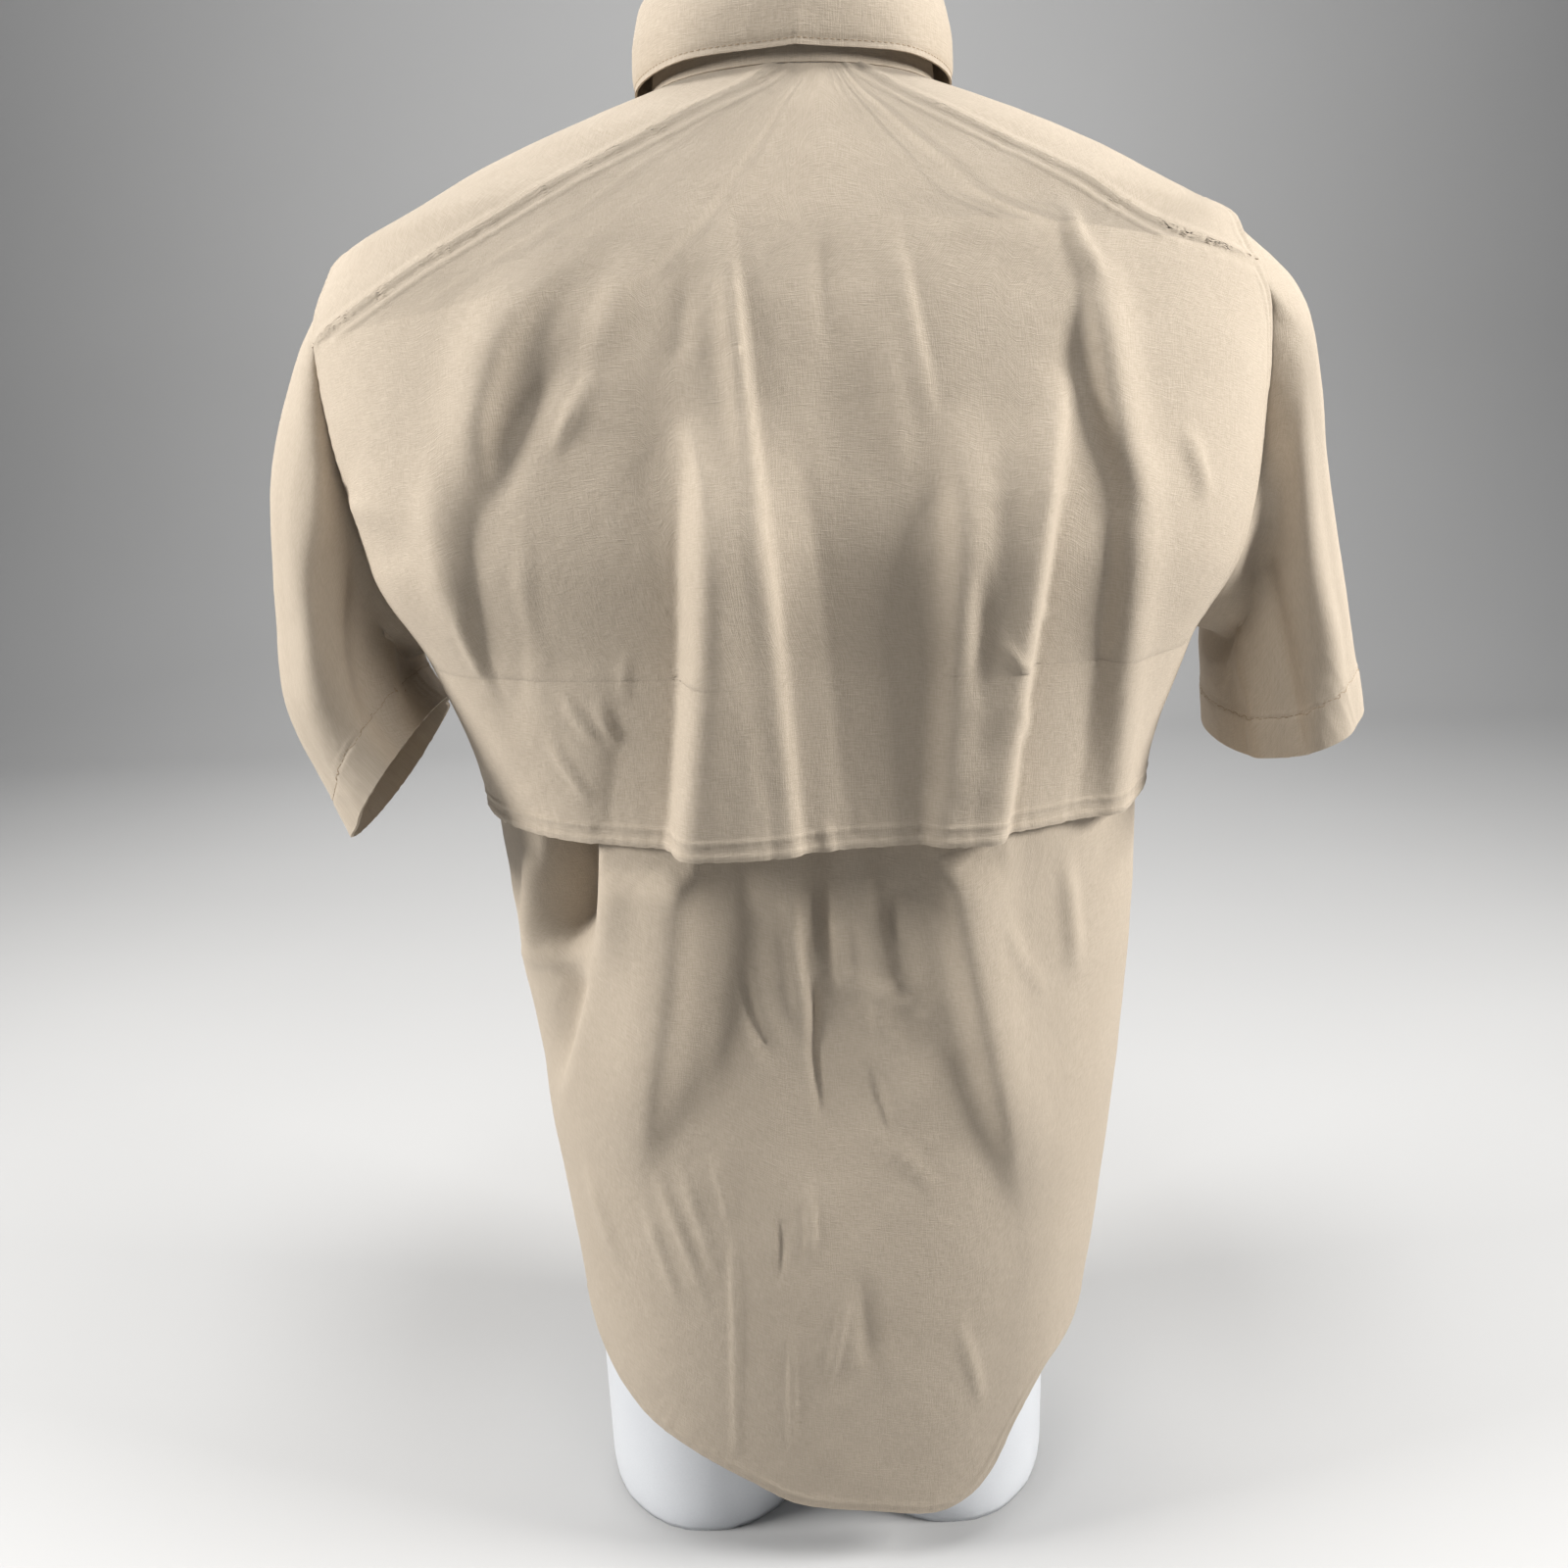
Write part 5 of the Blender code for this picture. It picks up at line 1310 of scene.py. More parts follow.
    def sleeve_ring(self, ring: SleeveRing, side: Side) -> Array:
        """Return one ring of a sleeve."""
        turn = np.radians(np.arange(0.0, 360.0, ARMHOLE_STEP / COLUMN_DETAIL))
        power = 2.0 / ring.squareness
        up = np.sign(np.cos(turn)) * np.abs(np.cos(turn)) ** power
        back = np.sign(np.sin(turn)) * np.abs(np.sin(turn)) ** power
        x = (ring.x_top + ring.x_low) / 2.0 + (ring.x_top - ring.x_low) / 2.0 * up
        z = (ring.z_top + ring.z_low) / 2.0 + (ring.z_top - ring.z_low) / 2.0 * up
        return np.stack([side.value * x, ring.y_mid + ring.half_depth * back, z], axis=-1)

    def sleeve(self, side: Side) -> ClothGrid:
        """Lay one sleeve as a tube from its armhole to its hem."""
        rings = SLEEVE_RINGS[side]
        sections = np.array([self.armhole_loop(side)] + [self.sleeve_ring(ring, side) for ring in rings])
        stations = np.array([0.0] + [ring.along for ring in rings])
        wanted = np.linspace(0.0, 1.0, SLEEVE_ROWS + 1)
        points = np.apply_along_axis(lambda values: smooth_lookup(wanted, stations, values), 0, sections)
        grid = ClothGrid(points, closed=True, flip=side is Side.RIGHT)
        turn = np.linspace(0.0, 360.0, points.shape[1], endpoint=False)[None, :]
        along = wanted[:, None]
        height = np.zeros(points.shape[:2])
        for fold in SLEEVE_FOLDS[side]:
            centre = fold.turn_start + (fold.turn_end - fold.turn_start) * along
            away = (turn - centre + 180.0) % 360.0 - 180.0
            start = ease(fold.start - SLEEVE_FOLD_LEAD, fold.start + SLEEVE_FOLD_RISE, along)
            inside = ease(0.0, SLEEVE_CALM, along) * start
            fade = ease(fold.end - SLEEVE_FOLD_FADE, fold.end + SLEEVE_FOLD_FADE, along)
            tail = 1.0 - fade * (fold.end < 1.0)
            height += fold.height * np.exp(-((away / fold.width) ** 2)) * inside * tail
        x, z = points[..., 0], points[..., 2]
        soft = self.skin.soft(x + points[..., 1], z, SLEEVE_SEED + side.value)
        height += ease(0.0, SLEEVE_SOFT_CALM, along) * soft
        grid.points = points + grid.normals() * height[..., None]
        return grid

    def stand_point(self, girth: Array, share: Array | float) -> Array:
        """Return a point of the collar stand's outer face, share from its foot to its top."""
        foot = self.skin.body.point(girth, NECK_LEVEL)
        front = ease(0.6, 2.0, np.abs(girth))
        height = STAND_HEIGHT_BACK + (STAND_HEIGHT_FRONT - STAND_HEIGHT_BACK) * front
        lean = 1.0 - STAND_LEAN * share
        z = foot[..., 2] + STAND_FOOT_GAP + height * share
        return np.stack([foot[..., 0] * lean, foot[..., 1] * lean, z], axis=-1)

    def collar_stand(self) -> ClothGrid:
        """Lay the collar stand."""
        offset = float(self.skin.front_offset(FRONT_EDGE_X, np.array(NECK_LEVEL)))
        girths = np.linspace(-2.0 - offset, 2.0 - offset, STAND_COLUMNS + 1)
        shares = np.linspace(0.0, 1.0, STAND_ROWS + 1)
        return ClothGrid(np.array([self.stand_point(girths, share) for share in shares]), flip=True)

    def collar_leaf(self) -> ClothGrid:
        """Lay the collar's leaf, which rises from the stand, turns over and falls to its points."""
        girths = np.linspace(-LEAF_END_GIRTH, LEAF_END_GIRTH, LEAF_COLUMNS + 1)
        top = self.stand_point(girths, 1.0)
        out = self.skin.body.normal(girths, np.full_like(girths, NECK_LEVEL)) * np.array([1.0, 1.0, 0.0])
        out = unit(out)
        rows = [top + out * step.out + np.array([0.0, 0.0, step.up]) for step in LEAF_FOLD]
        edge = [table_curve(LEAF_EDGE, "girth", axis, np.abs(girths)) for axis in ("x", "y", "z")]
        edge = np.stack([np.sign(girths) * edge[0], edge[1], edge[2]], axis=-1)
        start = rows[-1]
        for share in np.linspace(0.0, 1.0, LEAF_FALL_ROWS + 1)[1:]:
            bulge = LEAF_BULGE * math.sin(math.pi * share)
            rows.append(start * (1.0 - share) + edge * share + out * bulge)
        rows = np.array(rows)
        places = np.linspace(0.0, len(rows) - 1.0, (len(rows) - 1) * LEAF_DETAIL + 1)
        known = np.arange(len(rows), dtype=float)
        points = np.apply_along_axis(lambda values: smooth_lookup(places, known, values), 0, rows)
        under = ClothGrid(points, flip=False)
        shown = points - under.normals() * LEAF_WALL
        return ClothGrid(shown, flip=True)


class Shirt:
    """The whole shirt: its cloth pieces, their stitches and its buttons."""

    def __init__(
        self, cloth: bpy.types.Material, thread: bpy.types.Material, button: bpy.types.Material
    ) -> None:
        """Keep the finishes and set up the skin."""
        self.cloth, self.thread, self.button = cloth, thread, button
        self.skin = ShirtSkin()
        self.pattern = Pattern(self.skin)
        self.cutter = ShirtCutter(self.skin, self.pattern)

    def piece(self, name: str, node: str, grid: ClothGrid, seed: float, **edges: str) -> ClothPiece:
        """Sew one piece of cloth, with the kind of seam named for each of its edges."""
        seams = [Seam(Edge[edge.upper()], **SEWING[kind]) for edge, kind in edges.items()]
        return ClothPiece(f"{name}_cloth", node, grid, seams, seed)

    def pieces(self) -> list[ClothPiece]:
        """Return every cloth piece, sewn but not yet thickened."""
        cut, piece = self.cutter, self.piece
        parts = [
            piece("back", "back_panel", cut.back_panel(), 1.0, first="tail", near="plain", far="plain"),
            piece("cape", "cape", cut.cape(), 2.0, first="cape", near="felled", far="felled"),
        ]
        for side in Side:
            front, sleeve = f"front_{side.name.lower()}", f"sleeve_{side.name.lower()}"
            seed = 3.0 + side.value
            parts.append(piece(front, front, cut.front(side), seed, first="tail", far="felled", last="plain"))
            parts.append(piece(sleeve, sleeve, cut.sleeve(side), 3.0 + seed, last="cuff", first="set_in"))
        parts += [
            piece("placket", "placket", cut.placket(), 8.0, near="edging", far="edging", first="edging"),
            piece("collar_stand", "collar_stand", cut.collar_stand(), 9.0, first="plain", last="plain"),
            piece("collar_leaf", "collar_leaf", cut.collar_leaf(), 10.0, last="edging", near="edging",
                  far="edging"),
        ]
        return parts

    def level_at_height(self, z: float) -> float:
        """Return the level at which the placket's centre line has the height z."""
        levels = np.linspace(LOWEST_LEVEL, NECK_LEVEL, LEVEL_SAMPLES)
        heights = self.skin.placket(np.full_like(levels, 2.0), levels)[:, 2]
        return float(np.interp(z, heights, levels))

    def seats(self) -> list[tuple[Array, Array]]:
        """Return every button's seat and the way it faces, the collar stand's first."""
        centre = np.array([2.0])
        seat = self.cutter.stand_point(centre, STAND_BUTTON_SHARE)[0]
        above = self.cutter.stand_point(centre, STAND_SLOPE_SHARE)[0]
        outward = unit(np.cross([1.0, 0.0, 0.0], above - seat))
        found = [(seat - outward * STAND_BUTTON_SINK, outward)]
        for index in range(BUTTON_COUNT - 1):
            level = np.array([self.level_at_height(BUTTON_TOP_Z - index * BUTTON_SPACING)])
            read, around, along = self.skin.placket, SEAT_GIRTH_STEP, SEAT_LEVEL_STEP
            beside = read(centre - around, level)[0] - read(centre + around, level)[0]
            above = read(centre, level + along)[0] - read(centre, level - along)[0]
            found.append((read(centre, level)[0], unit(np.cross(beside, above))))
        return found

    def build(self) -> None:
        """Build the cloth pieces, sew them and set the buttons."""
        thread = Thread()
        for piece in self.pieces():
            piece.build(self.cloth)
            piece.stitch(thread)
        seats = self.seats()
        for index, (seat, outward) in enumerate(seats):
            Button(seat + outward * BUTTON_SEAT_GAP, outward).build(f"button_{index + 1}", self.button)
        self.sew_buttons(thread, seats)
        thread.build("seam_stitches", self.thread)

    def sew_buttons(self, thread: Thread, seats: Sequence[tuple[Array, Array]]) -> None:
        """Cross the thread through every button's holes and bar-tack its buttonhole."""
        for seat, outward in seats:
            across = unit(np.cross(outward, [0.0, 0.0, 1.0]))
            upward = np.cross(across, outward)
            top = seat + outward * (BUTTON_SEAT_GAP + Button.thickness - Button.rim + thread.radius)
            for turn in (1.0, -1.0):
                lie = unit(across + upward * turn)
                aside = np.cross(outward, lie)
                for shift in (-thread.radius, thread.radius):
                    spot = top + aside * shift
                    thread.add(spot[None], lie[None], outward[None])
            for share in np.linspace(-1.0, 1.0, HOLE_STITCHES):
                for flank in (-1.0, 1.0):
                    spot = seat + upward * (share * HOLE_HALF_LENGTH) + across * (flank * HOLE_HALF_WIDTH)
                    thread.add(spot[None], across[None], outward[None])


@dataclass
class Button:
    """A flat four-hole button with a raised rim."""

    seat: Array
    outward: Array

    radius = 0.0055
    thickness = 0.0026
    rim = 0.0008
    hole_radius = 0.00065
    hole_place = 0.00125
    steps = 64
    hole_sides = 20
    merge_distance = 0.000005
    sharp_angle = 40.0

    def profile(self) -> list[tuple[float, float]]:
        """Return the rounded outline of half the button as radius and height."""
        face = self.thickness - self.rim
        return [
            (0.0, 0.0), (0.70, 0.0), (0.86, 0.08), (0.96, 0.24), (1.0, 0.46), (0.99, 0.72),
            (0.95, 0.90), (0.88, 0.985), (0.80, 1.0), (0.73, 0.97), (0.67, 0.86),
            (0.62, 0.74), (0.55, face / self.thickness), (0.0, face / self.thickness),
        ]

    def build(self, node: str, material: bpy.types.Material) -> bpy.types.Object:
        """Turn the button, drill its holes and seat it."""
        shape = bmesh.new()
        verts = [shape.verts.new((r * self.radius, 0.0, h * self.thickness)) for r, h in self.profile()]
        edges = [shape.edges.new(pair) for pair in zip(verts, verts[1:])]
        bmesh.ops.spin(shape, geom=verts + edges, axis=(0, 0, 1), cent=(0, 0, 0), steps=self.steps,
                       angle=2.0 * math.pi)
        bmesh.ops.remove_doubles(shape, verts=shape.verts[:], dist=self.merge_distance)
        bmesh.ops.recalc_face_normals(shape, faces=shape.faces[:])
        item = show(to_mesh(shape, node), f"{node}_turned", material)
        drill = self.drill()
        cut = item.modifiers.new("holes", "BOOLEAN")
        cut.operation, cut.solver, cut.object = "DIFFERENCE", "EXACT", drill
        mesh = apply_modifiers(item)
        bpy.data.objects.remove(drill, do_unlink=True)
        mesh.set_sharp_from_angle(angle=math.radians(self.sharp_angle))
        turn = Vector((0.0, 0.0, 1.0)).rotation_difference(Vector(self.outward)).to_matrix().to_4x4()
        item.matrix_world = Matrix.Translation(Vector(self.seat + FRAME_SHIFT)) @ turn
        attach(item, ROOT)
        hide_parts(node)
        log.info("%s: turned, four holes", node)
        return item

    def drill(self) -> bpy.types.Object:
        """Return the four pins that cut the holes."""
        shape = bmesh.new()
        for x in (-1.0, 1.0):
            for y in (-1.0, 1.0):
                place = Matrix.Translation((x * self.hole_place, y * self.hole_place, self.thickness / 2.0))
                bmesh.ops.create_cone(shape, cap_ends=True, segments=self.hole_sides,
                                      radius1=self.hole_radius, radius2=self.hole_radius,
                                      depth=3.0 * self.thickness, matrix=place)
        return linked("holes", to_mesh(shape, "holes"))


@dataclass
class TorsoForm:
    """The armless form: a torso with a flat neck, blended into two short thigh stumps."""

    columns: int = 180
    rows: int = 160
    stump_height: float = 0.130
    stump_half_width: float = 0.070
    stump_half_depth: float = 0.082
    stump_centre_y: float = 0.014
    rest_clearance: float = 0.0030
    voxel: float = 0.0032
    smooth_rounds: int = 12
    relax: float = 0.5
    stump_columns: int = 96
    stump_rows: int = 24

    STUMP_CENTRE_X = {Side.LEFT: 0.083, Side.RIGHT: -0.073}
    REST_FROM = (0.798, 0.808)
    REST_TO = (0.824, 0.840)

    def skin(self, girth: Array, level: Array) -> Array:
        """Return the form's skin, which comes up under the cloth along the shoulders."""
        own = RingBody(FORM_RINGS).point(girth, level)
        low = np.minimum(level, NECK_LEVEL)
        shirt = RingBody(SHIRT_RINGS)
        under = shirt.point(girth, low) - shirt.normal(girth, low) * self.rest_clearance
        share = ease(*self.REST_FROM, level) * (1.0 - ease(*self.REST_TO, level))
        return own + (under - own) * share[..., None]

    def tube(self, shape: bmesh.types.BMesh, rings: Array) -> None:
        """Add a closed tube with flat ends through rings of points."""
        rows = [[shape.verts.new(point) for point in ring] for ring in rings]
        count = len(rows[0])
        for low, high in zip(rows, rows[1:]):
            for index in range(count):
                after = (index + 1) % count
                shape.faces.new((low[index], low[after], high[after], high[index]))
        shape.faces.new(rows[0][::-1])
        shape.faces.new(rows[-1])

    def build(self, material: bpy.types.Material) -> bpy.types.Object:
        """Build the form, standing on the flat ends of its stumps."""
        levels = np.linspace(FORM_RINGS[0].level, FORM_RINGS[-1].level, self.rows)
        girths = -np.arange(self.columns) * 4.0 / self.columns
        shape = bmesh.new()
        self.tube(shape, self.skin(girths[None, :], levels[:, None]) + FRAME_SHIFT)
        turns = np.linspace(0.0, 2.0 * math.pi, self.stump_columns, endpoint=False)
        heights = np.linspace(0.0, self.stump_height, self.stump_rows)
        for centre_x in self.STUMP_CENTRE_X.values():
            x = centre_x + self.stump_half_width * np.cos(turns)
            y = self.stump_centre_y + self.stump_half_depth * np.sin(turns)
            rings = [np.stack([x, y, np.full_like(x, z)], axis=-1) + FRAME_SHIFT for z in heights]
            self.tube(shape, np.array(rings))
        item = show(to_mesh(shape, "torso_form_rough"), "torso_form_shell", material)
        remesh = item.modifiers.new("blend", "REMESH")
        remesh.mode, remesh.voxel_size = "VOXEL", self.voxel
        mesh = apply_modifiers(item)
        self.smooth(mesh)
        mesh.materials.clear()
        mesh.materials.append(material)
        mesh.shade_smooth()
        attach(item, ROOT)
        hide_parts("torso_form")
        log.info("torso_form_shell: %d faces", len(mesh.polygons))
        return item

    def smooth(self, mesh: bpy.types.Mesh) -> None:
        """Relax the blended skin and keep its feet flat."""
        count = len(mesh.vertices)
        points = np.zeros(count * 3)
        mesh.vertices.foreach_get("co", points)
        points = points.reshape(-1, 3)
        edges = np.zeros(len(mesh.edges) * 2, np.int64)
        mesh.edges.foreach_get("vertices", edges)
        first, second = edges.reshape(-1, 2).T
        degree = np.bincount(np.concatenate([first, second]), minlength=count)[:, None]
        foot = points[:, 2] < self.voxel
        for _ in range(self.smooth_rounds):
            total = np.zeros_like(points)
            np.add.at(total, first, points[second])
            np.add.at(total, second, points[first])
            points = points + self.relax * (total / np.maximum(degree, 1) - points)
            points[foot, 2] = 0.0
        points[:, 2] = np.maximum(points[:, 2], 0.0)
        mesh.vertices.foreach_set("co", points.ravel())
        mesh.update()


class Socket:
    """A shader value that can be added, subtracted and multiplied with Math nodes."""

    def __init__(self, net: "Net", output: bpy.types.NodeSocket) -> None:
        """Keep the node tree and the output."""
        self.net, self.output = net, output

    def _math(self, operation: str, *values: Any) -> "Socket":
        """Return a Math node's result."""
        return self.net.node("ShaderNodeMath", {"operation": operation}, dict(enumerate(values)))

    def __add__(self, other: Any) -> "Socket":
        """Return the sum."""
        return self._math("ADD", self, other)

    def __radd__(self, other: Any) -> "Socket":
        """Return the sum."""
        return self._math("ADD", other, self)

    def __sub__(self, other: Any) -> "Socket":
        """Return the difference."""
        return self._math("SUBTRACT", self, other)

    def __rsub__(self, other: Any) -> "Socket":
        """Return the difference from a number."""
        return self._math("SUBTRACT", other, self)

    def __mul__(self, other: Any) -> "Socket":
        """Return the product."""
        return self._math("MULTIPLY", self, other)

    def __rmul__(self, other: Any) -> "Socket":
        """Return the product."""
        return self._math("MULTIPLY", other, self)

    def clamped(self) -> "Socket":
        """Return the value held from 0 to 1."""
        return self.net.node("ShaderNodeClamp", {}, {0: self})

    def between(self, low: float, high: float) -> "Socket":
        """Return 0 below low, 1 above high and a smooth rise from one to the other."""
        values = {"Value": self, "From Min": low, "From Max": high}
        return self.net.node("ShaderNodeMapRange", {"interpolation_type": "SMOOTHSTEP"}, values)


class Net:
    """The node tree of one material."""

    def __init__(self, name: str) -> None:
        """Start a material with one Principled shader."""
        self.material = bpy.data.materials.new(name)
        self.material.use_nodes = True
        self.tree = self.material.node_tree
        self.shader = self.tree.nodes["Principled BSDF"]

    def node(self, kind: str, settings: dict[str, Any], values: dict[Any, Any], output: Any = 0) -> Socket:
        """Add one node.

        Args:
            kind: The node's type.
            settings: Its properties, set first.
            values: Its inputs by name or index, as numbers or sockets.
            output: Which output to return.

        Returns:
            The output as a socket.
        """
        made = self.tree.nodes.new(kind)
        for name, value in settings.items():
            setattr(made, name, value)
        for name, value in values.items():
            self.put(made.inputs[name], value)
        return Socket(self, made.outputs[output])

    def put(self, target: bpy.types.NodeSocket, value: Any) -> None:
        """Link a socket to an input or set the input's value."""
        if isinstance(value, Socket):
            self.tree.links.new(value.output, target)
        else:
            target.default_value = value

    def shade(self, **values: Any) -> None:
        """Set or link the shader's inputs, with spaces written as underscores."""
        for name, value in values.items():
            self.put(self.shader.inputs[name.replace("_", " ")], value)

    def mix(self, factor: Any, low: Any, high: Any) -> Socket:
        """Return a mix of two colours."""
        settings = {"data_type": "RGBA"}
        return self.node("ShaderNodeMix", settings, {0: factor, 6: low, 7: high}, 2)

    def noise(self, place: Any, scale: float, detail: float = 2.0, roughness: float = 0.5) -> Socket:
        """Return noise from 0 to 1."""
        values = {"Vector": place, "Scale": scale, "Detail": detail, "Roughness": roughness}
        return self.node("ShaderNodeTexNoise", {}, values)

    def stretched(self, place: Any, scale: Sequence[float]) -> Socket:
        """Return a place scaled by axis."""
        return self.node("ShaderNodeMapping", {}, {"Vector": place, "Scale": tuple(scale)})

    def bump(self, height: Any, distance: float, strength: float, normal: Any = None) -> Socket:
        """Return a normal bent by a height."""
        values = {"Height": height, "Distance": distance, "Strength": strength}
        if normal is not None:
            values["Normal"] = normal
        return self.node("ShaderNodeBump", {}, values)


class Finish:
    """A procedural material that is shaded at places of its object."""

    def build(self, name: str) -> bpy.types.Material:
        """Build the material."""
        net = Net(name)
        self.wire(net, net.node("ShaderNodeTexCoord", {}, {}, "Object"))
        return net.material

    def wire(self, net: Net, place: Socket) -> None:
        """Wire the finish into its node tree."""
        raise NotImplementedError


@dataclass(frozen=True)
class ClothFinish(Finish):
    """Plain-weave cotton with slubs in both directions of its threads."""

    light: tuple[float, float, float, float] = (0.565, 0.485, 0.390, 1.0)
    dark: tuple[float, float, float, float] = (0.405, 0.335, 0.255, 1.0)
    pitch: float = 0.00070
    weave_depth: float = 0.00016
    crumple_depth: float = 0.0017

    def wire(self, net: Net, place: Socket) -> None:
        """Wire the finish into its node tree."""
        plan = net.node("ShaderNodeUVMap", {"uv_map": "threads"}, {})
        scale = 2.0 * math.pi / (20.0 * self.pitch)
        waves = []
        for direction in ("X", "Y"):
            settings = {"wave_type": "BANDS", "bands_direction": direction}
            waves.append(net.node("ShaderNodeTexWave", settings, {"Vector": plan, "Scale": scale,
                                                                  "Distortion": 0.2, "Detail": 1.0}, 1))
        warp, weft = waves
        weave = warp * weft + (1.0 - warp) * (1.0 - weft)
        down = net.noise(net.stretched(plan, (1600.0, 150.0, 1.0)), 1.0, 2.0)
        across = net.noise(net.stretched(plan, (170.0, 1700.0, 1.0)), 1.0, 2.0)
        thick = net.noise(net.stretched(plan, (90.0, 900.0, 1.0)), 1.0, 1.0)
        slub = (down * 0.45 + across * 0.55).between(0.36, 0.64)
        knots = thick.between(0.60, 0.72)
        mottle = net.noise(place, 26.0, 4.0, 0.6)
        tone = (slub * 0.40 + mottle * 0.26 + weave * 0.22 + knots * 0.12).clamped()
        colour = net.mix(tone, self.dark, self.light)
        rough = 0.80 + tone * 0.12
        crumple = net.noise(place, 42.0, 4.0, 0.62)
        fine = net.noise(net.stretched(place, (1.0, 1.0, 1.6)), 120.0, 3.0, 0.6)
        soft = net.bump(crumple * 0.75 + fine * 0.25, self.crumple_depth, 0.55)
        threads = net.bump(weave * 0.5 + slub * 0.6 + knots * 0.4, self.weave_depth, 0.9, soft)
        net.shade(Base_Color=colour, Roughness=rough, Normal=threads)
        net.shade(Sheen_Weight=0.12, Sheen_Roughness=0.5, Specular_IOR_Level=0.25)


@dataclass(frozen=True)
class ThreadFinish(Finish):
    """Matte sewing thread, tone on tone."""

    light: tuple[float, float, float, float] = (0.430, 0.335, 0.235, 1.0)
    dark: tuple[float, float, float, float] = (0.280, 0.205, 0.135, 1.0)
    twist: float = 2600.0

    def wire(self, net: Net, place: Socket) -> None:
        """Wire the finish into its node tree."""
        ply = net.noise(net.stretched(place, (1.0, 1.0, 0.6)), self.twist, 1.0)
        tone = net.noise(place, 60.0, 2.0)
        net.shade(Base_Color=net.mix((ply * 0.5 + tone * 0.5).clamped(), self.dark, self.light))
        net.shade(Roughness=0.62 + ply * 0.2, Normal=net.bump(ply, 0.00006, 0.8))


@dataclass(frozen=True)
class ButtonFinish(Finish):
    """Horn-like resin with soft streaks."""

    light: tuple[float, float, float, float] = (0.50, 0.37, 0.24, 1.0)
    dark: tuple[float, float, float, float] = (0.20, 0.125, 0.070, 1.0)

    def wire(self, net: Net, place: Socket) -> None:
        """Wire the finish into its node tree."""
        streaks = net.noise(net.stretched(place, (1.0, 0.28, 1.0)), 620.0, 4.0, 0.62)
        cloud = net.noise(place, 260.0, 2.0)
        scuffs = net.noise(place, 3000.0, 2.0)
        tone = (streaks * 0.7 + cloud * 0.3).between(0.36, 0.66)
        net.shade(Base_Color=net.mix(tone, self.dark, self.light), Roughness=0.26 + scuffs * 0.16)
        net.shade(Normal=net.bump(scuffs, 0.00002, 0.5), Coat_Weight=0.25, Coat_Roughness=0.2)


@dataclass(frozen=True)
class PlasticFinish(Finish):
    """White satin plastic with a faint grain, as moulded."""

    light: tuple[float, float, float, float] = (0.730, 0.750, 0.780, 1.0)
    dark: tuple[float, float, float, float] = (0.660, 0.680, 0.715, 1.0)

    def wire(self, net: Net, place: Socket) -> None:
        """Wire the finish into its node tree."""
        cloud = net.noise(place, 9.0, 3.0)
        grain = net.noise(place, 900.0, 3.0)
        wave = net.noise(place, 28.0, 2.0)
        tone = (cloud * 0.7 + grain * 0.3).between(0.30, 0.70)
        smooth = net.bump(wave, 0.0010, 0.25)
        net.shade(Base_Color=net.mix(tone, self.dark, self.light), Roughness=0.30 + cloud * 0.12)
        net.shade(Normal=net.bump(grain, 0.00004, 0.5, smooth), Coat_Weight=0.15, Coat_Roughness=0.25)


@dataclass(frozen=True)
class FloorFinish(Finish):
    """Plain pale matte ground."""

    colour: tuple[float, float, float, float] = (0.50, 0.50, 0.50, 1.0)
    shade: tuple[float, float, float, float] = (0.46, 0.46, 0.46, 1.0)

    def wire(self, net: Net, place: Socket) -> None:
        """Wire the finish into its node tree."""
        net.shade(Base_Color=net.mix(net.noise(place, 1.5, 2.0), self.shade, self.colour), Roughness=0.75)


@dataclass(frozen=True)
class AreaLight:
    """One square soft light that faces a point."""

    name: str
    place: tuple[float, float, float]
    target: tuple[float, float, float]
    size: float
    power: float
    colour: tuple[float, float, float]

    def build(self) -> bpy.types.Object:
        """Add the light."""
        lamp = bpy.data.lights.new(self.name, "AREA")
        lamp.energy, lamp.size, lamp.color = self.power, self.size, self.colour
        item = linked(self.name, lamp)
        item.location = self.place
        item.rotation_euler = (Vector(self.target) - Vector(self.place)).to_track_quat("-Z", "Y").to_euler()
        return item


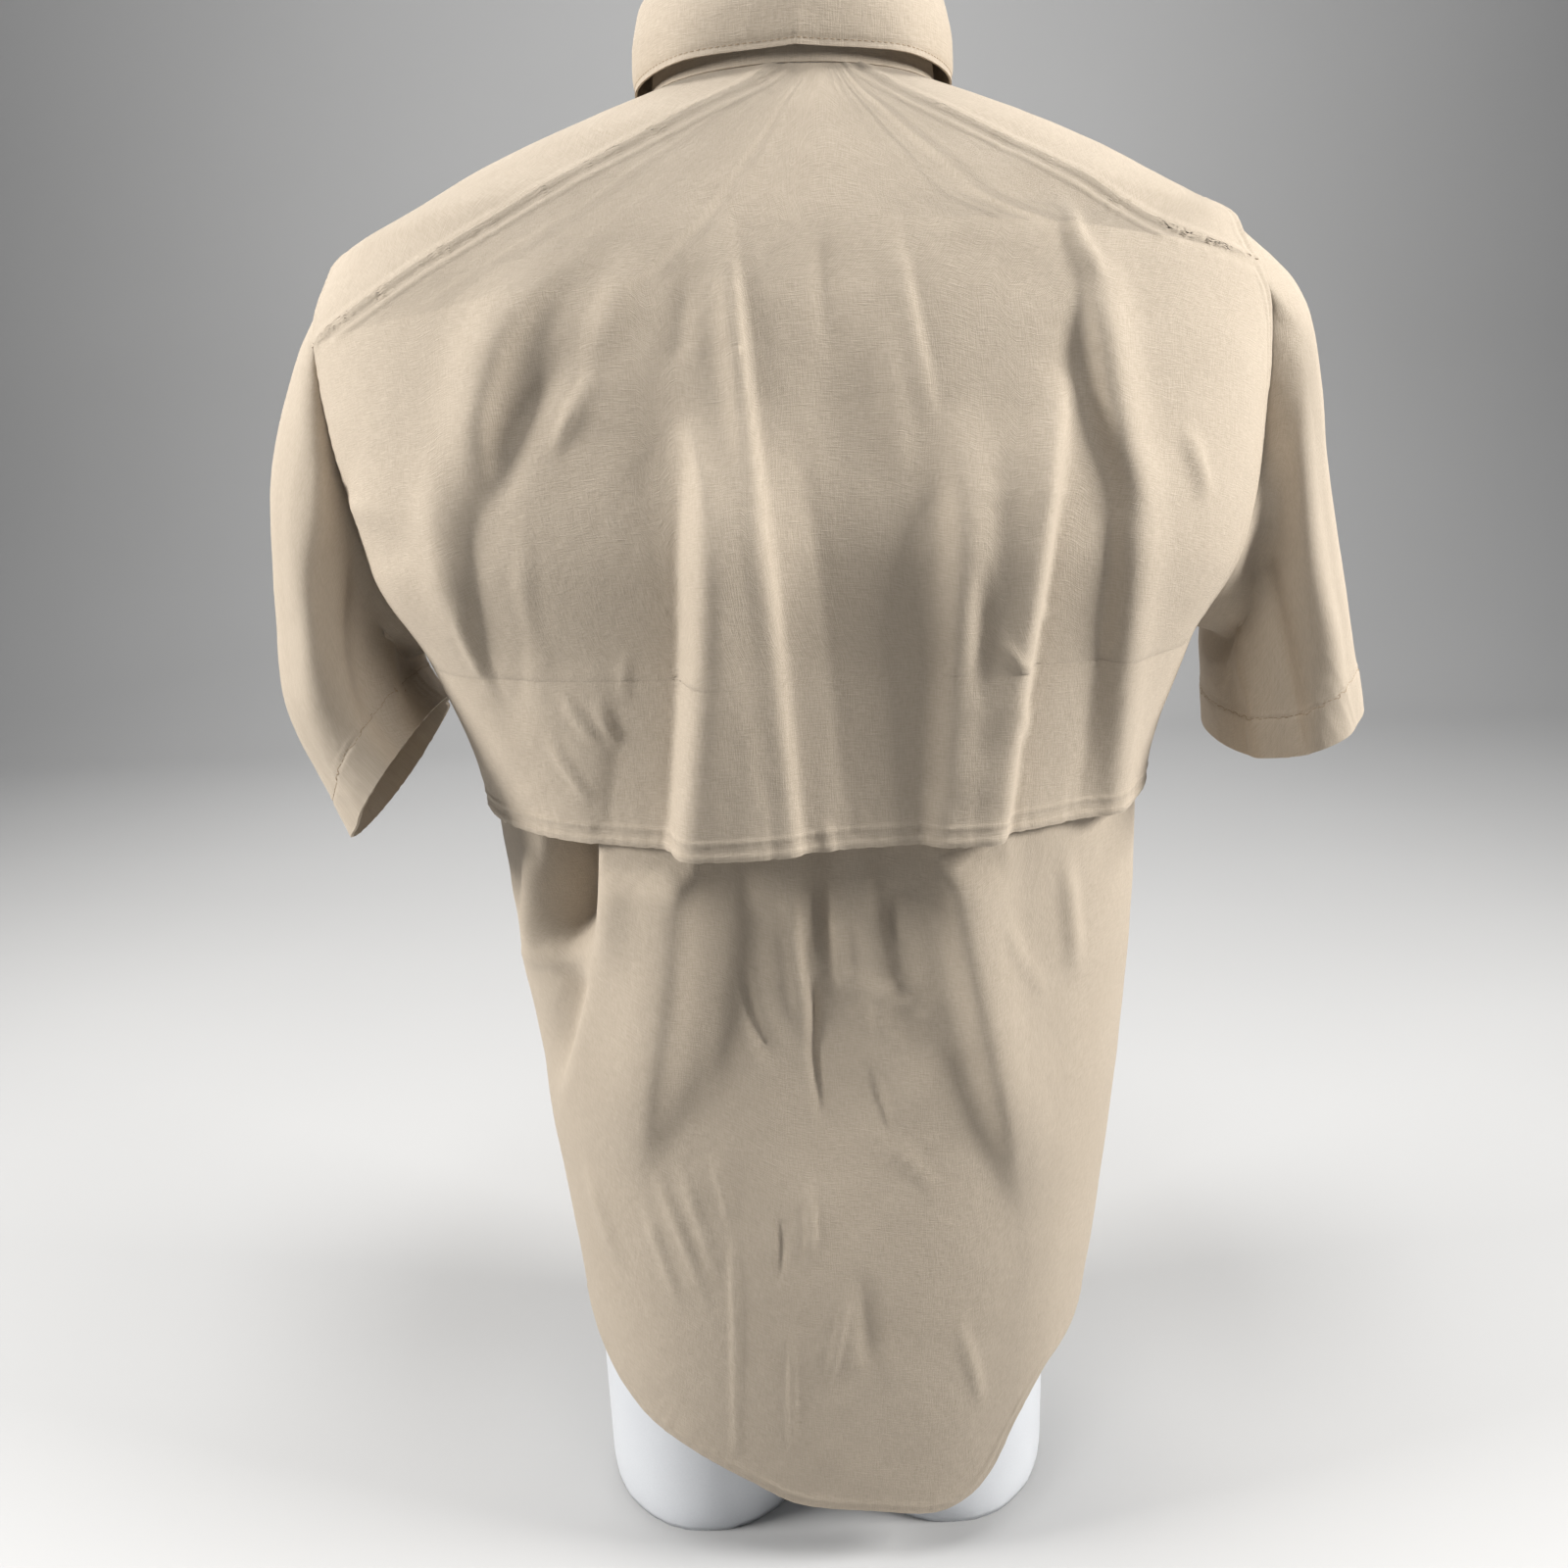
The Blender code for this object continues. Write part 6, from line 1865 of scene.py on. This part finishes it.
@dataclass(frozen=True)
class Studio:
    """The pale floor and backdrop, the lights and the camera."""

    half_width: float = 4.0
    front: float = 3.5
    back: float = -1.9
    height: float = 3.4
    bend: float = 0.8
    bend_steps: int = 20
    surround: tuple[float, float, float, float] = (0.90, 0.94, 1.0, 1.0)
    surround_strength: float = 0.11
    camera_place: tuple[float, float, float] = (0.024, 0.7405, 0.700)
    pitch: float = 16.7
    roll: float = 2.1
    lens: float = 29.9
    sensor: float = 36.0

    def build(self) -> None:
        """Set up the studio."""
        self.ground()
        lights = (
            AreaLight("key", (1.60, 0.30, 1.15), (0.0, 0.05, 0.50), 0.5, 36.0, (1.0, 0.985, 0.96)),
            AreaLight("side", (-1.60, 0.38, 1.20), (0.0, 0.05, 0.50), 0.5, 43.0, (1.0, 0.985, 0.96)),
            AreaLight("top", (0.00, 0.45, 2.20), (0.0, 0.0, 0.7), 0.5, 16.0, (1.0, 1.0, 1.0)),
            AreaLight("front_fill", (0.6, -1.5, 1.6), (0.0, 0.0, 0.45), 1.4, 9.0, (1.0, 0.98, 0.95)),
            AreaLight("backdrop", (0.0, -0.9, 2.6), (0.0, -2.2, 0.6), 1.6, 24.0, (1.0, 1.0, 1.0)),
        )
        for light in lights:
            light.build()
        self.world()
        self.camera()

    def ground(self) -> None:
        """Sweep the floor up into the backdrop."""
        turns = np.linspace(0.0, math.pi / 2.0, self.bend_steps)
        curve_y = self.back - self.bend * np.sin(turns)
        curve_z = self.bend * (1.0 - np.cos(turns))
        ys = np.concatenate([[self.front], curve_y, [self.back - self.bend]])
        zs = np.concatenate([[0.0], curve_z, [self.height]])
        verts = [(x, y, z) for y, z in zip(ys, zs) for x in (-self.half_width, self.half_width)]
        faces = [(2 * i, 2 * i + 1, 2 * i + 3, 2 * i + 2) for i in range(len(ys) - 1)]
        mesh = bpy.data.meshes.new("ground")
        mesh.from_pydata(verts, [], faces)
        show(mesh, "ground", FloorFinish().build("ground_finish"))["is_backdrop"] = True

    def world(self) -> None:
        """Set an even, dim surround."""
        world = bpy.data.worlds.new("surround")
        world.use_nodes = True
        background = world.node_tree.nodes["Background"]
        background.inputs["Color"].default_value = self.surround
        background.inputs["Strength"].default_value = self.surround_strength
        bpy.context.scene.world = world
        bpy.context.scene.view_settings.view_transform = "Standard"

    def camera(self) -> None:
        """Aim the camera as the photo was taken."""
        data = bpy.data.cameras.new("view")
        data.lens, data.sensor_width = self.lens, self.sensor
        item = linked("view", data)
        facing = Matrix.Rotation(math.pi, 4, "Z") @ Matrix.Rotation(math.radians(90.0 - self.pitch), 4, "X")
        turn = Matrix.Rotation(math.radians(-self.roll), 4, "Z")
        item.matrix_world = Matrix.Translation(self.camera_place) @ facing @ turn
        bpy.context.scene.camera = item


def write_sizes() -> None:
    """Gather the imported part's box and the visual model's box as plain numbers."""
    boxes = {"cad": CAD_BOX, "visual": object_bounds()}
    plain = {name: [[float(value) for value in corner] for corner in box] for name, box in boxes.items()}


def main() -> None:
    """Build the form, the shirt and the studio."""
    logging.basicConfig(level=logging.INFO, format="%(name)s: %(message)s")
    TorsoForm().build(PlasticFinish().build("satin_plastic"))
    finishes = (ClothFinish().build("cotton"), ThreadFinish().build("thread"), ButtonFinish().build("resin"))
    Shirt(*finishes).build()
    Studio().build()
    write_sizes()


if __name__ == "__main__":
    main()
